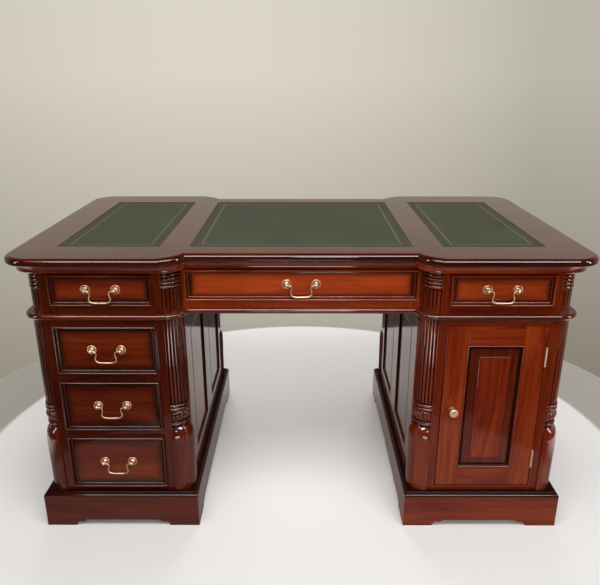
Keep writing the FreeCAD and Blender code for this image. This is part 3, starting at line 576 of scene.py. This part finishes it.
def dress(node, body="desk", finish=mahogany, slotName="mahogany",
          edgeRound=boardLook["edgeRound"], tone=None, pick=None, suffix="", extra=None):
    # A node's boards with eased arrises, each with its own run of grain.
    whole = newWhole()
    for faces in boardsOf(node):
        shape = boardShape(faces, edgeRound)
        if pick and not pick(*corners(shape)):
            shape.free()
            continue
        layGrain(shape, None, tone(*corners(shape)) if callable(tone) else tone)
        if extra:
            extra(shape)
        addTo(whole, shape)
    nodes = [] if suffix else [node]
    finishes = finish if isinstance(finish, list) else [finish]
    makePiece(camel(node) + suffix, whole, finishes, body, slotName, *nodes)


topLook = {
    "length": 740, "depth": 416, "corner": 75, "cornerSteps": 14, "centre": 366, "joint": 340.5,
    "turn": (56, 54, 6), "turnSteps": 10, "notch": 5.5, "step": 0.6, "roundWide": 13,
    "roundDeep": 10, "under": 5, "roundSteps": 8, "bed": 2.3, "flatDeep": 2, "flatTone": -1,
    "edgeTone": -1.25}


def topQuarter():
    # A quarter of the outline: half the centre, the turn, a wing and its rounded corner.
    look = topLook
    wide, deep, bow = look["turn"]
    start = Vector((look["joint"], look["depth"] - look["notch"]))
    end = Vector((look["joint"] - wide, look["depth"] - deep))
    chord = end - start
    side = Vector((chord.y, -chord.x)).normalized()
    shares = [step / look["turnSteps"] for step in range(look["turnSteps"] + 1)]
    points = [start + chord * share + side * bow * 4 * share * (1 - share) for share in shares]
    points = [point for point in reversed(points) if point.y > look["centre"] + 0.5]
    points.insert(0, Vector((points[0].x - look["step"], look["centre"])))
    points.append(Vector((look["joint"], look["depth"])))
    centre = Vector((look["length"] - look["corner"], look["depth"] - look["corner"]))
    for step in range(look["cornerSteps"] + 1):
        turn = math.pi / 2 * (1 - step / look["cornerSteps"])
        points.append(centre + look["corner"] * Vector((math.cos(turn), math.sin(turn))))
    return points


def flatFaces(shape, level):
    return [face for face in shape.faces
            if face.calc_center_median().z > level - boardLook["merge"]]


def shapedTop():
    # The top from its outline: a thumb-nail edge above, a small round below, beds for leather.
    quarter = topQuarter()
    outline = [(-x, y) for x, y in reversed(quarter)] + [(x, y) for x, y in quarter]
    outline += [(x, -y) for x, y in reversed(quarter)] + [(-x, -y) for x, y in quarter]
    low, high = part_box("top_board")
    shape = bmesh.new()
    level = high.z - topLook["roundDeep"] * mm
    base = shape.faces.new([shape.verts.new((x * mm, y * mm, level)) for x, y in outline])
    base.normal_update()
    if base.normal.z < 0:
        base.normal_flip()
    walls = bmesh.ops.extrude_face_region(shape, geom=[base])
    lower = [item for item in walls["geom"] if isinstance(item, bmesh.types.BMFace)][0]
    bmesh.ops.translate(shape, verts=lower.verts, vec=(0, 0, low.z + topLook["under"] * mm - level))
    bmesh.ops.recalc_face_normals(shape, faces=shape.faces)
    for face, wide, deep in ((base, topLook["roundWide"], topLook["roundDeep"]),
                             (lower, topLook["under"], topLook["under"])):
        inward, upward = 0.0, 0.0
        for step in range(1, topLook["roundSteps"] + 1):
            turn = math.pi / 2 * step / topLook["roundSteps"]
            reach, rise = wide * (1 - math.cos(turn)) * mm, deep * math.sin(turn) * mm
            insetOf(shape, face, reach - inward, rise - upward)
            inward, upward = reach, rise
    beds = [boardSpan(faces) for faces in boardsOf("writing_leathers")]
    cuts = {(axis, corner[axis]) for bed in beds for corner in bed for axis in (0, 1)}
    for axis, value in sorted(cuts):
        parts = dict.fromkeys(part for face in flatFaces(shape, high.z)
                              for part in (face, *face.edges, *face.verts))
        spot, aim = [0, 0, high.z], [0, 0, 0]
        spot[axis], aim[axis] = value, 1
        bmesh.ops.bisect_plane(shape, geom=list(parts), dist=0.001 * mm, plane_co=spot,
                               plane_no=aim)
    for bedLow, bedHigh in beds:
        inside = [face for face in flatFaces(shape, high.z)
                  if all(bedLow[i] < face.calc_center_median()[i] < bedHigh[i] for i in (0, 1))]
        bmesh.ops.inset_individual(shape, faces=inside, thickness=0.0, depth=-topLook["bed"] * mm)
    return shape


def darkOnTop(shape):
    # The flat of the top is toned dark, and its moulded edge darker still: painted dark reflection
    # along the rounded edge.
    layer = shape.verts.layers.float["tone"]
    high = corners(shape)[1].z
    for vert in shape.verts:
        isFlat = high - vert.co.z < topLook["flatDeep"] * mm
        vert[layer] = topLook["flatTone"] if isFlat else topLook["edgeTone"]


top = newWhole()
topShape = shapedTop()
layGrain(topShape, 0)
darkOnTop(topShape)
addTo(top, topShape)
makePiece("topBoard", top, [mahogany], "desk", "mahogany", "top_board")

corniceTones = {"left": -0.4, "right": 0.35}
friezeTones = {"left": -0.9, "kneehole": 0.9, "right": -0.2, "halfKneehole": 0.3}


def corniceTone(low, high):
    return corniceTones["right" if (low + high).x > 0 else "left"]


def friezeTone(low, high):
    # The boards across the kneehole are the ruddiest, those on the left the deepest.
    middle = (low + high).x / 2
    if abs(middle) < friezeTones["halfKneehole"]:
        return friezeTones["kneehole"]
    return friezeTones["left" if middle < 0 else "right"]


dress("cornice_moulding", edgeRound=0, tone=corniceTone)
dress("waist_bead", edgeRound=0)
carcassTones = {"frieze_carcass": friezeTone, "left_pedestal_carcass": -1,
                "right_pedestal_carcass": -0.4, "left_plinth": -1, "right_plinth": -0.1}
for node, tone in carcassTones.items():
    dress(node, tone=tone)

capLook = {"crest": 9.6 * mm, "foot": 3 * mm, "footGlaze": 0.3}


def shadeUnder(shape):
    # Glaze and painted shade on the slope of the cap, which gets the shaded polish; its lower crest
    # keeps the full gloss and stays bright.
    layer = shape.verts.layers.float.new("glaze")
    low = corners(shape)[0]
    for vert in shape.verts:
        vert[layer] = 1.0 if vert.co.z > low.z + capLook["foot"] else capLook["footGlaze"]
    for face in shape.faces:
        isAbove = face.calc_center_median().z > low.z + capLook["crest"]
        face.material_index = int(isAbove and face.normal.z > 0.3)


dress("plinth_cap_moulding", finish=[mahogany, deepPolish], extra=shadeUnder)

# Each ring of a moulded panel: how far in, how proud, and how dark it is painted: glaze, and
# painted shade in its grooves. Rings darker than the limit get the shaded polish.
deepShadeLimit = 0.8
sidePanel = {
    "face": 8 * mm, "wide": 0.1, "tall": 0.2, "outside": 0.5,
    "rings": ((0.8, 0.4, 0.5), (1.8, 0.8, 0.3), (2.8, 0.5, 0.5), (3.8, -0.6, 0.9), (5, -2.2, 0.95),
        (6.2, -3.8, 0.95), (7.2, -4.6, 1), (9.2, -4.6, 1))}


def mouldedPanel(low, high, aim, rings):
    # A panel from a plain board: its shown face is inset ring by ring, each at its own level.
    shape = plainBox(low, high)
    stain = shape.faces.layers.float.new("stain")
    field = max(shape.faces, key=lambda face: face.normal.dot(aim))
    inset, level = 0.0, 0.0
    for nextInset, nextLevel, amount in rings:
        for face in insetOf(shape, field, (nextInset - inset) * mm, (nextLevel - level) * mm):
            face[stain] = amount
            face.material_index = int(amount > deepShadeLimit)
        inset, level = nextInset, nextLevel
    field[stain] = 0.0
    field.material_index = 0
    return shape


whole = newWhole()
for faces in boardsOf("pedestal_panels"):
    low, high = boardSpan(faces)
    if (high - low).y > sidePanel["wide"] and (high - low).z > sidePanel["tall"]:
        # The moulding round the panel stands from the side of the pedestal.
        middle = (low + high).x / 2
        isOuter = abs(middle) > sidePanel["outside"]
        if isOuter == (middle > 0):
            aim = Vector((1, 0, 0))
            high.x += sidePanel["face"]
        else:
            aim = Vector((-1, 0, 0))
            low.x -= sidePanel["face"]
        shape = mouldedPanel(low, high, aim, sidePanel["rings"])
        layGrain(shape, 2)
        addTo(whole, shape)
makePiece("pedestalPanels", whole, [mahogany, deepPolish], "desk", "mahogany", "pedestal_panels")
for node in ("frieze_runners", "pedestal_runners", "cupboard_shelves", "shelf_battens"):
    dress(node, finish=timber, slotName="interior_wood")
print("carcass is dressed")

# Drawers

# A frame's profile is (inwards, proud), and "dark" the stretches of it painted darkest, with the
# shaded polish: painted shade on its slopes. "shading" is (share of the way in, glaze and painted
# shade) on the field, and "laps" how far the frame covers the rails (beside, below).
frontLook = {
    "reach": 16 * mm, "thin": 15 * mm, "edgeRound": 0.5 * mm,
    "profile": ((0, 0), (0, 6.6), (0.25, 8.2), (0.9, 9.4), (1.9, 10), (2.9, 9.8), (3.7, 9),
        (4.3, 7.8), (4.9, 6.2), (5.6, 4.6), (6.6, 3.3), (7.6, 2.6), (8, 2.6), (8.6, 3), (9.3, 2.7),
        (9.8, 1.9), (10.1, 1), (10.5, 0.6), (10.5, 0)),
    "dark": ((4.2, 7.9), (9.6, 10.6)), "moulding": 10.5 * mm, "lapShare": 0.4,
    "shading": ((0, 1), (0.16, 0.75), (0.45, 0.3), (0.95, 0)), "widest": 42 * mm,
    "tones": {"left_frieze_drawer": 0.05, "centre_frieze_drawer": 2.1, "right_frieze_drawer": 1.2,
        "upper_drawer": -0.6, "middle_drawer": -0.8, "lower_drawer": -0.55},
    "mouldingTone": -0.6, "toneShare": 0.8,
    "laps": {"left_frieze_drawer": (2, 1.2), "centre_frieze_drawer": (11, 2.5),
        "right_frieze_drawer": (3, 1.2)}}


def frontBoard(low, high, side, moulding):
    # The front's plain board, painted darker towards the moulding round the field: glaze, and
    # painted shade along the moulding.
    shape = plainBox(low, high)
    roundEdges(shape, frontLook["edgeRound"])
    layer = shape.verts.layers.float.new("glaze")
    shown = [face for face in shape.faces if face.normal.y * side > 0.99]
    field = max(shown, key=lambda face: face.calc_area())
    for vert in field.verts:
        vert[layer] = frontLook["shading"][0][1]
    before = 0.0
    room = min(frontLook["widest"], min((high - low).x, (high - low).z) / 2 - moulding)
    for share, amount in frontLook["shading"]:
        reach = moulding + share * room
        insetOf(shape, field, reach - before)
        before = reach
        for vert in field.verts:
            vert[layer] = amount
    return shape


def mitredStrip(look, length):
    # One bar of a frame, its ends cut at 45 degrees.
    shape = bmesh.new()
    end = shape.faces.new([shape.verts.new((inward * mm - length / 2, -proud * mm, inward * mm))
                           for inward, proud in look["profile"]])
    made = bmesh.ops.extrude_face_region(shape, geom=[end])
    for item in made["geom"]:
        if isinstance(item, bmesh.types.BMVert):
            item.co.x = -item.co.x
    stain = shape.faces.layers.float.new("stain")
    # Painted shade: the dark stretches of the profile are painted near-black and get the shaded
    # polish.
    for face in shape.faces:
        inward = face.calc_center_median().z / mm
        isDark = any(first <= inward <= last for first, last in look["dark"])
        if isDark and abs(face.normal.x) < 0.5:
            face[stain] = 0.95
            face.material_index = 1
    bmesh.ops.recalc_face_normals(shape, faces=shape.faces)
    return shape


def mitredFrame(whole, look, low, high, face, side, tone):
    # Four bars round a rectangle on the front of a drawer or a door.
    middle, size = (low + high) / 2, high - low
    for turn, length, x, z in ((0, size.x, middle.x, low.z), (90, size.z, low.x, middle.z),
                               (180, size.x, middle.x, high.z), (270, size.z, high.x, middle.z)):
        bar = mitredStrip(look, length)
        turnBy(bar, turn, "Y")
        if side > 0:
            bmesh.ops.scale(bar, vec=(1, -1, 1), verts=bar.verts)
            bmesh.ops.recalc_face_normals(bar, faces=bar.faces)
        moveBy(bar, x, face, z)
        layGrain(bar, 2 if turn % 180 else 0, tone)
        addTo(whole, bar)


for sideName, side in sides:
    for drawer, tone in frontLook["tones"].items():
        node = sideName + "_" + drawer
        front = faceLevel(*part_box(node), side)

        def isBehind(low, high):
            return abs(faceLevel(low, high, side) - front) > frontLook["reach"]

        whole = newWhole()
        for faces in boardsOf(node):
            low, high = boardSpan(faces)
            if isBehind(low, high) or min(high - low) < frontLook["thin"]:
                continue
            beside, below = (lap * mm for lap in frontLook["laps"].get(drawer, (0, 0)))
            moulding = frontLook["moulding"] - frontLook["lapShare"] * beside
            shape = frontBoard(low, high, side, moulding)
            layGrain(shape, None, tone)
            addTo(whole, shape)
            mitredFrame(whole, frontLook, low - Vector((beside, 0, below)),
                        high + Vector((beside, 0, 0)), faceLevel(low, high, side), side,
                        frontLook["toneShare"] * tone + frontLook["mouldingTone"])
        makePiece(camel(node) + "Front", whole, [mahogany, deepPolish], node, "mahogany", node)
        dress(node, body=node, finish=timber, slotName="interior_wood", suffix="Box", pick=isBehind)
print("drawers are dressed")

# Cupboard doors

# The door's rings are given as a side panel's: its grooves and the bevel of the raised panel are
# painted dark, glaze and painted shade, and "dark" is the stretch of its bead painted darkest.
doorLook = {
    "tone": 0.1, "panelTone": 0, "beadTone": 0, "edgeRound": 0.6 * mm, "leafRound": 0.15 * mm,
    "rim": 2 * mm, "panelWide": 0.1, "panelTall": 0.3, "lap": Vector((1.4, 0, 1.4)) * mm,
    "profile": ((0, -7), (0, 0.5), (0.4, 1.3), (1.1, 1.8), (1.9, 1.9), (2.6, 1.5), (3.2, 0.6),
        (3.6, -0.8), (3.9, -2.8), (4, -7)),
    "dark": ((3, 4.1),),
    "rings": ((0.5, 0, 0), (1.2, -0.15, 0.3), (2.2, -0.7, 0.9), (3.2, -1.7, 0.95), (4, -3, 1),
        (4.6, -4.6, 1), (5.2, -5.8, 1), (9.6, -5.8, 1), (10.2, -5.3, 0.85), (30.5, -2, 0.76),
        (31.2, -1.1, 0.95), (32, -0.45, 0.2), (33.2, -0.3, 0))}


def darkRim(shape, low, high):
    # Painted shade of the gap on the side arrises where the door meets its frame.
    edge, stain = shape.faces.layers.float["edge"], shape.faces.layers.float.new("stain")
    for face in shape.faces:
        x = face.calc_center_median().x
        if face[edge] and min(x - low.x, high.x - x) < doorLook["rim"]:
            face[stain] = 1.0


for sideName, side in sides:
    node = sideName + "_door"
    boards = boardsOf(node)
    front = side * max(side * faceLevel(*boardSpan(faces), side) for faces in boards)
    whole = newWhole()
    for faces in boards:
        low, high = boardSpan(faces)
        if (high - low).x > doorLook["panelWide"] and (high - low).z > doorLook["panelTall"]:
            shape = mouldedPanel(low, high, Vector((0, side, 0)), doorLook["rings"])
            layGrain(shape, 2, doorLook["panelTone"])
            mitredFrame(whole, doorLook, low - doorLook["lap"], high + doorLook["lap"], front,
                        side, doorLook["beadTone"])
        else:
            shape = boardShape(faces, doorLook["edgeRound"])
            layGrain(shape, None, doorLook["tone"])
            darkRim(shape, *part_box(node))
        addTo(whole, shape)
    makePiece(sideName + "Door", whole, [mahogany, deepPolish], node, "mahogany", node)
    dress(sideName + "_door_hinge_leaves", body=node, finish=rubbedBrass, slotName="brass",
          edgeRound=doorLook["leafRound"])
dress("fixed_hinge_leaves", finish=rubbedBrass, slotName="brass", edgeRound=doorLook["leafRound"])
print("doors are dressed")

# Quarter columns

# Heights and radii of the columns are in millimetres, their places in metres.
columnLook = {
    "reeds": 6, "stepsPerReed": 10, "shaft": 40, "core": 20, "reedDepth": 3.2, "deep": (25, 39.2),
    "glaze": (39.7, 0.8), "tones": (-0.95, -0.25),
    "tall": {"outer": 0.657, "inner": 0.350, "y": 0.331, "low": 372, "high": 620},
    "short": {"outer": 0.654, "inner": 0.353, "y": 0.328, "low": 635, "high": 698},
    "bulb": {"low": 318, "tall": 32, "swell": 7.2, "waist": 37.6, "depth": 2.4},
    "leaf": {"low": 287, "high": 309, "proud": 3, "half": 8.5, "rib": 0.35},
    "rings": {"count": 4, "step": 9.9, "tall": 9.6}}
rounding = columnLook["shaft"] * math.sin(math.pi / 4 / columnLook["reeds"])


def roundBead(radius, low, high, rows=8):
    # Points of a half-round member between two heights.
    half = (high - low) / 2
    turns = [math.pi * row / rows for row in range(1, rows)]
    return [(radius - half * (1 - math.sin(turn)), (low + high) / 2 - half * math.cos(turn))
            for turn in turns]


def turned(profile, steps, angle=360):
    # A profile of (radius, height) in millimetres spun about Z.
    shape = bmesh.new()
    verts = [shape.verts.new((radius * mm, 0, height * mm)) for radius, height in profile]
    edges = [shape.edges.new(pair) for pair in zip(verts, verts[1:])]
    bmesh.ops.spin(shape, geom=verts + edges, cent=(0, 0, 0), axis=(0, 0, 1),
                   angle=math.radians(angle), steps=steps, use_merge=angle == 360)
    tiny = 0.001 * mm
    bmesh.ops.remove_doubles(shape, verts=shape.verts, dist=tiny)
    if angle != 360:
        poles = [vert for vert in shape.verts if vert.co.xy.length < tiny]
        poles.sort(key=lambda vert: vert.co.z)
        spine = shape.edges.new((poles[0], poles[-1]))
        for flat in (0, 1):
            rim = [edge for edge in shape.edges if edge != spine and edge.is_boundary
                   and all(abs(vert.co[flat]) < tiny for vert in edge.verts)]
            bmesh.ops.contextual_create(shape, geom=rim + [spine])
    bmesh.ops.recalc_face_normals(shape, faces=shape.faces)
    return shape


def reedDrop(turn, ending=0.0):
    # How far a reeded surface lies below its crests, at this share of a quarter turn.
    across = 2 * ((turn * columnLook["reeds"]) % 1) - 1
    return 1 - math.sqrt(max(0.0, 1 - across * across - ending * ending))


def carve(shape, low, high, drop):
    # Cuts a turned surface inwards between two heights: drop(turn, height) in millimetres.
    for vert in shape.verts:
        radius, height = vert.co.xy.length, vert.co.z / mm
        if radius > columnLook["core"] * mm and low <= height <= high:
            turn = math.atan2(vert.co.y, vert.co.x) / (math.pi / 2)
            turn = min(max(turn, 0.0), 1.0)
            vert.co.xy *= (radius - drop(turn, height) * mm) / radius


def quarterColumn(profile):
    return turned(profile, columnLook["reeds"] * columnLook["stepsPerReed"], 90)


def tallColumn():
    crown, look = columnLook["shaft"], columnLook["tall"]
    bulb, leaf = columnLook["bulb"], columnLook["leaf"]
    bulbTop = bulb["low"] + bulb["tall"]
    profile = [(0, 108), (50.5, 108), (50.9, 150), (51.4, 200), (51.8, 240), (52, 263),
               (51.9, 268), (51.4, 274), (50.5, 279.5), (49.3, 284), (47.9, 288)]
    profile += [(46.9 - 8.5 * share ** 1.25, 290 + 11 * share)
                for share in (0, 0.15, 0.3, 0.45, 0.6, 0.75, 0.9)]
    profile += [(38, 301.5), (37.8, 303), (38, 305), (38.3, 307.4)]
    profile += [(38.3, 308), *roundBead(42.5, 308, 313.5), (38.6, 313.5)]
    profile += roundBead(41.4, 313.5, 317.6, 6) + [(37.6, 317.8)]
    profile += [(bulb["waist"] + bulb["swell"] * math.sin(math.pi * share) ** 0.8,
                 bulb["low"] + bulb["tall"] * share ** 0.9)
                for share in [step / 16 for step in range(1, 16)]]
    profile += [(37.6, bulbTop), *roundBead(43.6, 350.2, 360.6), (39.2, 360.8)]
    profile += roundBead(43.2, 361, 371) + [(38, 371.4)]
    profile += [(crown, look["low"] + rounding * share)
                for share in (0, 0.1, 0.25, 0.45, 0.7, 1)]
    profile += [(crown, 450), (crown, 540), (crown, look["high"]), (0, look["high"])]
    shape = quarterColumn(profile)

    def reedCut(turn, height):
        ending = max(0.0, (look["low"] + rounding - height) / rounding)
        return columnLook["reedDepth"] * reedDrop(turn, ending)

    def gadroonCut(turn, height):
        swell = math.sin(math.pi * (height - bulb["low"]) / bulb["tall"]) ** 0.6
        return bulb["depth"] * reedDrop(turn) * swell

    def leafCut(turn, height):
        share = (height - leaf["low"]) / (leaf["high"] - leaf["low"])
        across = abs(turn - 0.5) * 90 / leaf["half"] / max(0.05, share ** 0.7)
        rise = math.sin(math.pi * min(1.0, share * 0.55 + 0.45)) ** 0.5
        body = max(0.0, 1 - across * across) * rise
        rib = leaf["rib"] * max(0.0, 1 - across * 5)
        return -leaf["proud"] * (body ** 0.6 - rib * body)

    carve(shape, look["low"], look["high"], reedCut)
    carve(shape, bulb["low"] + 0.1, bulbTop - 0.1, gadroonCut)
    carve(shape, leaf["low"], 307.9, leafCut)
    return shape


def shortColumn():
    crown, look, rings = columnLook["shaft"], columnLook["short"], columnLook["rings"]
    profile = [(0, look["low"]), (crown, look["low"]), (crown, 665)]
    profile += [(crown, look["high"] - rounding * share)
                for share in (1, 0.7, 0.45, 0.25, 0.1, 0)]
    profile += [(37.2, 698.3)]
    for ring in range(rings["count"]):
        start = look["high"] + 0.4 + rings["step"] * ring
        profile += roundBead(43 - 0.5 * (ring % 2), start, start + rings["tall"])
        profile += [(38.4, start + 9.75)]
    profile += roundBead(43, 738.4, 744) + [(0, 744)]
    shape = quarterColumn(profile)

    def reedCut(turn, height):
        ending = max(0.0, (height - look["high"] + rounding) / rounding)
        return columnLook["reedDepth"] * reedDrop(turn, ending)

    carve(shape, look["low"], look["high"], reedCut)
    return shape


def recessGlazeAndShade(shape, centre):
    # Glaze and painted shade in the hollows between members; the deepest faces get the shaded
    # polish.
    crest, fade = columnLook["glaze"]
    inside, outside = columnLook["deep"]
    layer = shape.verts.layers.float.new("glaze")
    for vert in shape.verts:
        radius = (vert.co - centre).xy.length / mm
        amount = min(1.0, max(0.0, (crest - radius) / fade))
        vert[layer] = amount if radius > columnLook["core"] else 0.0
    for face in shape.faces:
        radius = (face.calc_center_median() - centre).xy.length / mm
        face.material_index = int(inside < radius < outside)


def atCorners(build, look, name, node):
    # A column at each of the eight corners, its quarter turned outwards.
    whole = newWhole()
    for flip in (1, -1):
        for spot, side, turn in (("outer", 1, 0), ("inner", 1, 90), ("inner", -1, 180),
                                 ("outer", -1, 270)):
            shape = build()
            turnBy(shape, turn if flip > 0 else 90 - turn, "Z")
            centre = Vector((look[spot] * flip, look["y"] * side, 0))
            moveBy(shape, *centre)
            recessGlazeAndShade(shape, centre)
            layGrain(shape, 2, columnLook["tones"][flip > 0])
            addTo(whole, shape)
    makePiece(name, whole, [mahogany, deepPolish], "desk", "mahogany", node)


atCorners(tallColumn, columnLook["tall"], "pedestalColumns", "pedestal_columns")
atCorners(shortColumn, columnLook["short"], "friezeColumns", "frieze_columns")
print("columns are turned and carved")

# Handles

# Handle profiles are (radius, height) in millimetres, the bail's line (x, z, radius).
handleLook = {
    "spacing": 76, "reach": 13, "ball": 4.8, "neck": 3.2, "front": 22,
    "rosette": ((0, -26), (2.5, -26), (2.5, -0.4), (12, -0.1), (12.5, 0.3), (12.5, 0.9),
        (12.2, 1.5), (11.7, 1.95), (11, 2.15), (10.3, 2.05), (9.7, 1.7), (9.2, 1.35), (8.4, 1.15),
        (7.5, 1.2), (6.8, 1.45), (6.4, 1.9), (6.15, 2.5), (5.7, 2.95), (5.1, 3.1), (4.6, 3.25),
        (4, 3.8), (3.5, 4.7), (3.2, 5.8), (3.1, 7.4)),
    "nut": (5, 3), "nutRound": 0.4 * mm, "rod": 2.1, "ends": 32.4,
    "collar": ((0, -0.8), (1.9, -0.8), *roundBead(2.7, -0.8, 0.8, 6), (1.9, 0.8), (0, 0.8)),
    "bail": ((32.9, 0, 1.8), (30.8, 0.1, 1.7), (27.4, -1.2, 1.6), (24.4, -5.2, 1.55),
        (24, -10.5, 1.6), (25.9, -15.5, 1.7), (27.6, -20.5, 1.8), (26.2, -27, 1.95),
        (19.5, -31.2, 2.05), (9, -31.7, 2.15))}
knobLook = {
    "reach": 28, "glazeEnd": 20, "glazeFade": 6, "glazeMost": 1.3,
    "profile": ((0, 0), (8.2, 0), (8.4, 0.6), (8.2, 1.3), (7.4, 1.8), (6.4, 2), (5.6, 2.5),
        (4.9, 3.6), (4.5, 5.4), (4.4, 9), (4.6, 11.6), (5.2, 13.8), (6.4, 15.6), (8.4, 17.2),
        (10.2, 18.9), (11.2, 20.8), (11.5, 22.6), (11.4, 24.2), (10.9, 25.6), (10, 26.7),
        (8.8, 27.4), (7, 27.75), (4, 27.95), (0, 28))}


def ballPoints(radius, neck, centre, rows=9):
    first = math.asin(neck / radius)
    turns = [first + (math.pi - first) * row / rows for row in range(rows + 1)]
    return [(radius * math.sin(turn), centre - radius * math.cos(turn)) for turn in turns]


def rosetteShade(depth, radius):
    # Painted shade in the dish of the rosette and round the foot of its post.
    if depth < 1.5 and 6.4 < radius < 9.4:
        return 1.0
    return 0.5 if 3.0 < depth < 8 and radius < 4.4 else 0.0


def pullShape():
    # Two rosettes with ball posts, and the nuts behind the drawer front.
    look = handleLook
    whole = newWhole()
    profile = [*look["rosette"], *ballPoints(look["ball"], look["neck"], look["reach"])]
    radius, depth = (size * mm for size in look["nut"])
    for x in (-look["spacing"] / 2, look["spacing"] / 2):
        post = turned(profile, 36)
        turnBy(post, 90, "X")
        nut = bmesh.new()
        bmesh.ops.create_cone(nut, cap_ends=True, segments=6, radius1=radius, radius2=radius,
                              depth=depth)
        roundEdges(nut, look["nutRound"])
        turnBy(nut, 90, "X")
        moveBy(nut, 0, look["front"] * mm + depth / 2, 0)
        layer = post.verts.layers.float.new("glaze")
        for vert in post.verts:
            vert[layer] = rosetteShade(-vert.co.y / mm, vert.co.xz.length / mm)
        for part in (post, nut):
            moveBy(part, x * mm, 0, 0)
            addTo(whole, part)
    return whole


def bailShape():
    # The swan-neck bail, thickest at the middle of its grip.
    look = handleLook
    curve = bpy.data.curves.new("bailLine", "CURVE")
    curve.dimensions = "3D"
    line = [*look["bail"], *((-x, z, size) for x, z, size in reversed(look["bail"]))]
    spline = curve.splines.new("NURBS")
    spline.points.add(len(line) - 1)
    for point, (x, z, size) in zip(spline.points, line):
        point.co = (x * mm, -look["reach"] * mm, z * mm, 1)
        point.radius = size / look["rod"]
    spline.order_u = 4
    spline.use_endpoint_u = True
    curve.bevel_depth = look["rod"] * mm
    curve.bevel_resolution = 5
    curve.resolution_u = 7
    curve.use_fill_caps = True
    holder = bpy.data.objects.new("bailLine", curve)
    passing = bpy.data.meshes.new_from_object(holder)
    whole = newWhole()
    whole.from_mesh(passing)
    bpy.data.meshes.remove(passing)
    bpy.data.objects.remove(holder)
    bmesh.ops.remove_doubles(whole, verts=whole.verts, dist=0.005 * mm)
    bmesh.ops.recalc_face_normals(whole, faces=whole.faces)
    for x in (-look["ends"], look["ends"]):
        collar = turned(look["collar"], 20)
        turnBy(collar, 90, "Y")
        moveBy(collar, x * mm, -look["reach"] * mm, 0)
        addTo(whole, collar)
    return whole


def knobShape():
    look = knobLook
    whole, shape = newWhole(), turned(look["profile"], 40)
    turnBy(shape, 90, "X")
    # Painted shade on the stem, darkest near the door and fading towards the head.
    layer = shape.verts.layers.float.new("glaze")
    for vert in shape.verts:
        share = (look["glazeEnd"] + vert.co.y / mm) / look["glazeFade"]
        vert[layer] = look["glazeMost"] * min(1.0, max(0.0, share))
    addTo(whole, shape)
    return whole


def placeFor(whole, node, side, depth):
    # Moves a shape made round Y = 0 to its node's front, turned round for the far side.
    low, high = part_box(node)
    if side > 0:
        turnBy(whole, 180, "Z")
    middle = (low + high) / 2
    moveBy(whole, middle.x, faceLevel(low, high, side) - side * depth * mm, middle.z)
    return whole


for sideName, side in sides:
    for drawer in frontLook["tones"]:
        node = sideName + "_" + drawer
        pulls, bail = node + "_pulls", node + "_bail"
        depth = handleLook["reach"] + handleLook["ball"]
        shape = placeFor(pullShape(), pulls, side, depth)
        makePiece(camel(pulls), shape, [brass], node, "brass", pulls)
        shape = placeFor(bailShape(), pulls, side, depth)
        makePiece(camel(bail), shape, [brass], bail, "brass", bail)
    door, knob = sideName + "_door", sideName + "_door_knob"
    shape = placeFor(knobShape(), knob, side, knobLook["reach"])
    makePiece(camel(knob), shape, [rubbedBrass], door, "brass", knob)
print("handles and knobs are fitted")

# Leathers

# The rings of a leather from its edge inwards: width and finish.
leatherFinishes = [hide, hideBorder, gold, ropeGold]
tooling = {"edgeRound": 0.4 * mm,
           "rings": ((24.5, hideBorder), (1.1, gold), (2.6, ropeGold), (1.1, gold), (0.6, hide))}

leathers = newWhole()
for faces in boardsOf("writing_leathers"):
    shape = plainBox(*boardSpan(faces))
    roundEdges(shape, tooling["edgeRound"])
    field = max(shape.faces, key=lambda face: face.calc_center_median().z)
    for face in shape.faces:
        face.material_index = 1
    for width, finish in tooling["rings"]:
        for face in insetOf(shape, field, width * mm):
            face.material_index = leatherFinishes.index(finish)
    field.material_index = 0
    layGrain(shape, 0)
    addTo(leathers, shape)
makePiece("writingLeathers", leathers, leatherFinishes, "desk", "leather", "writing_leathers")
print("leathers are laid")
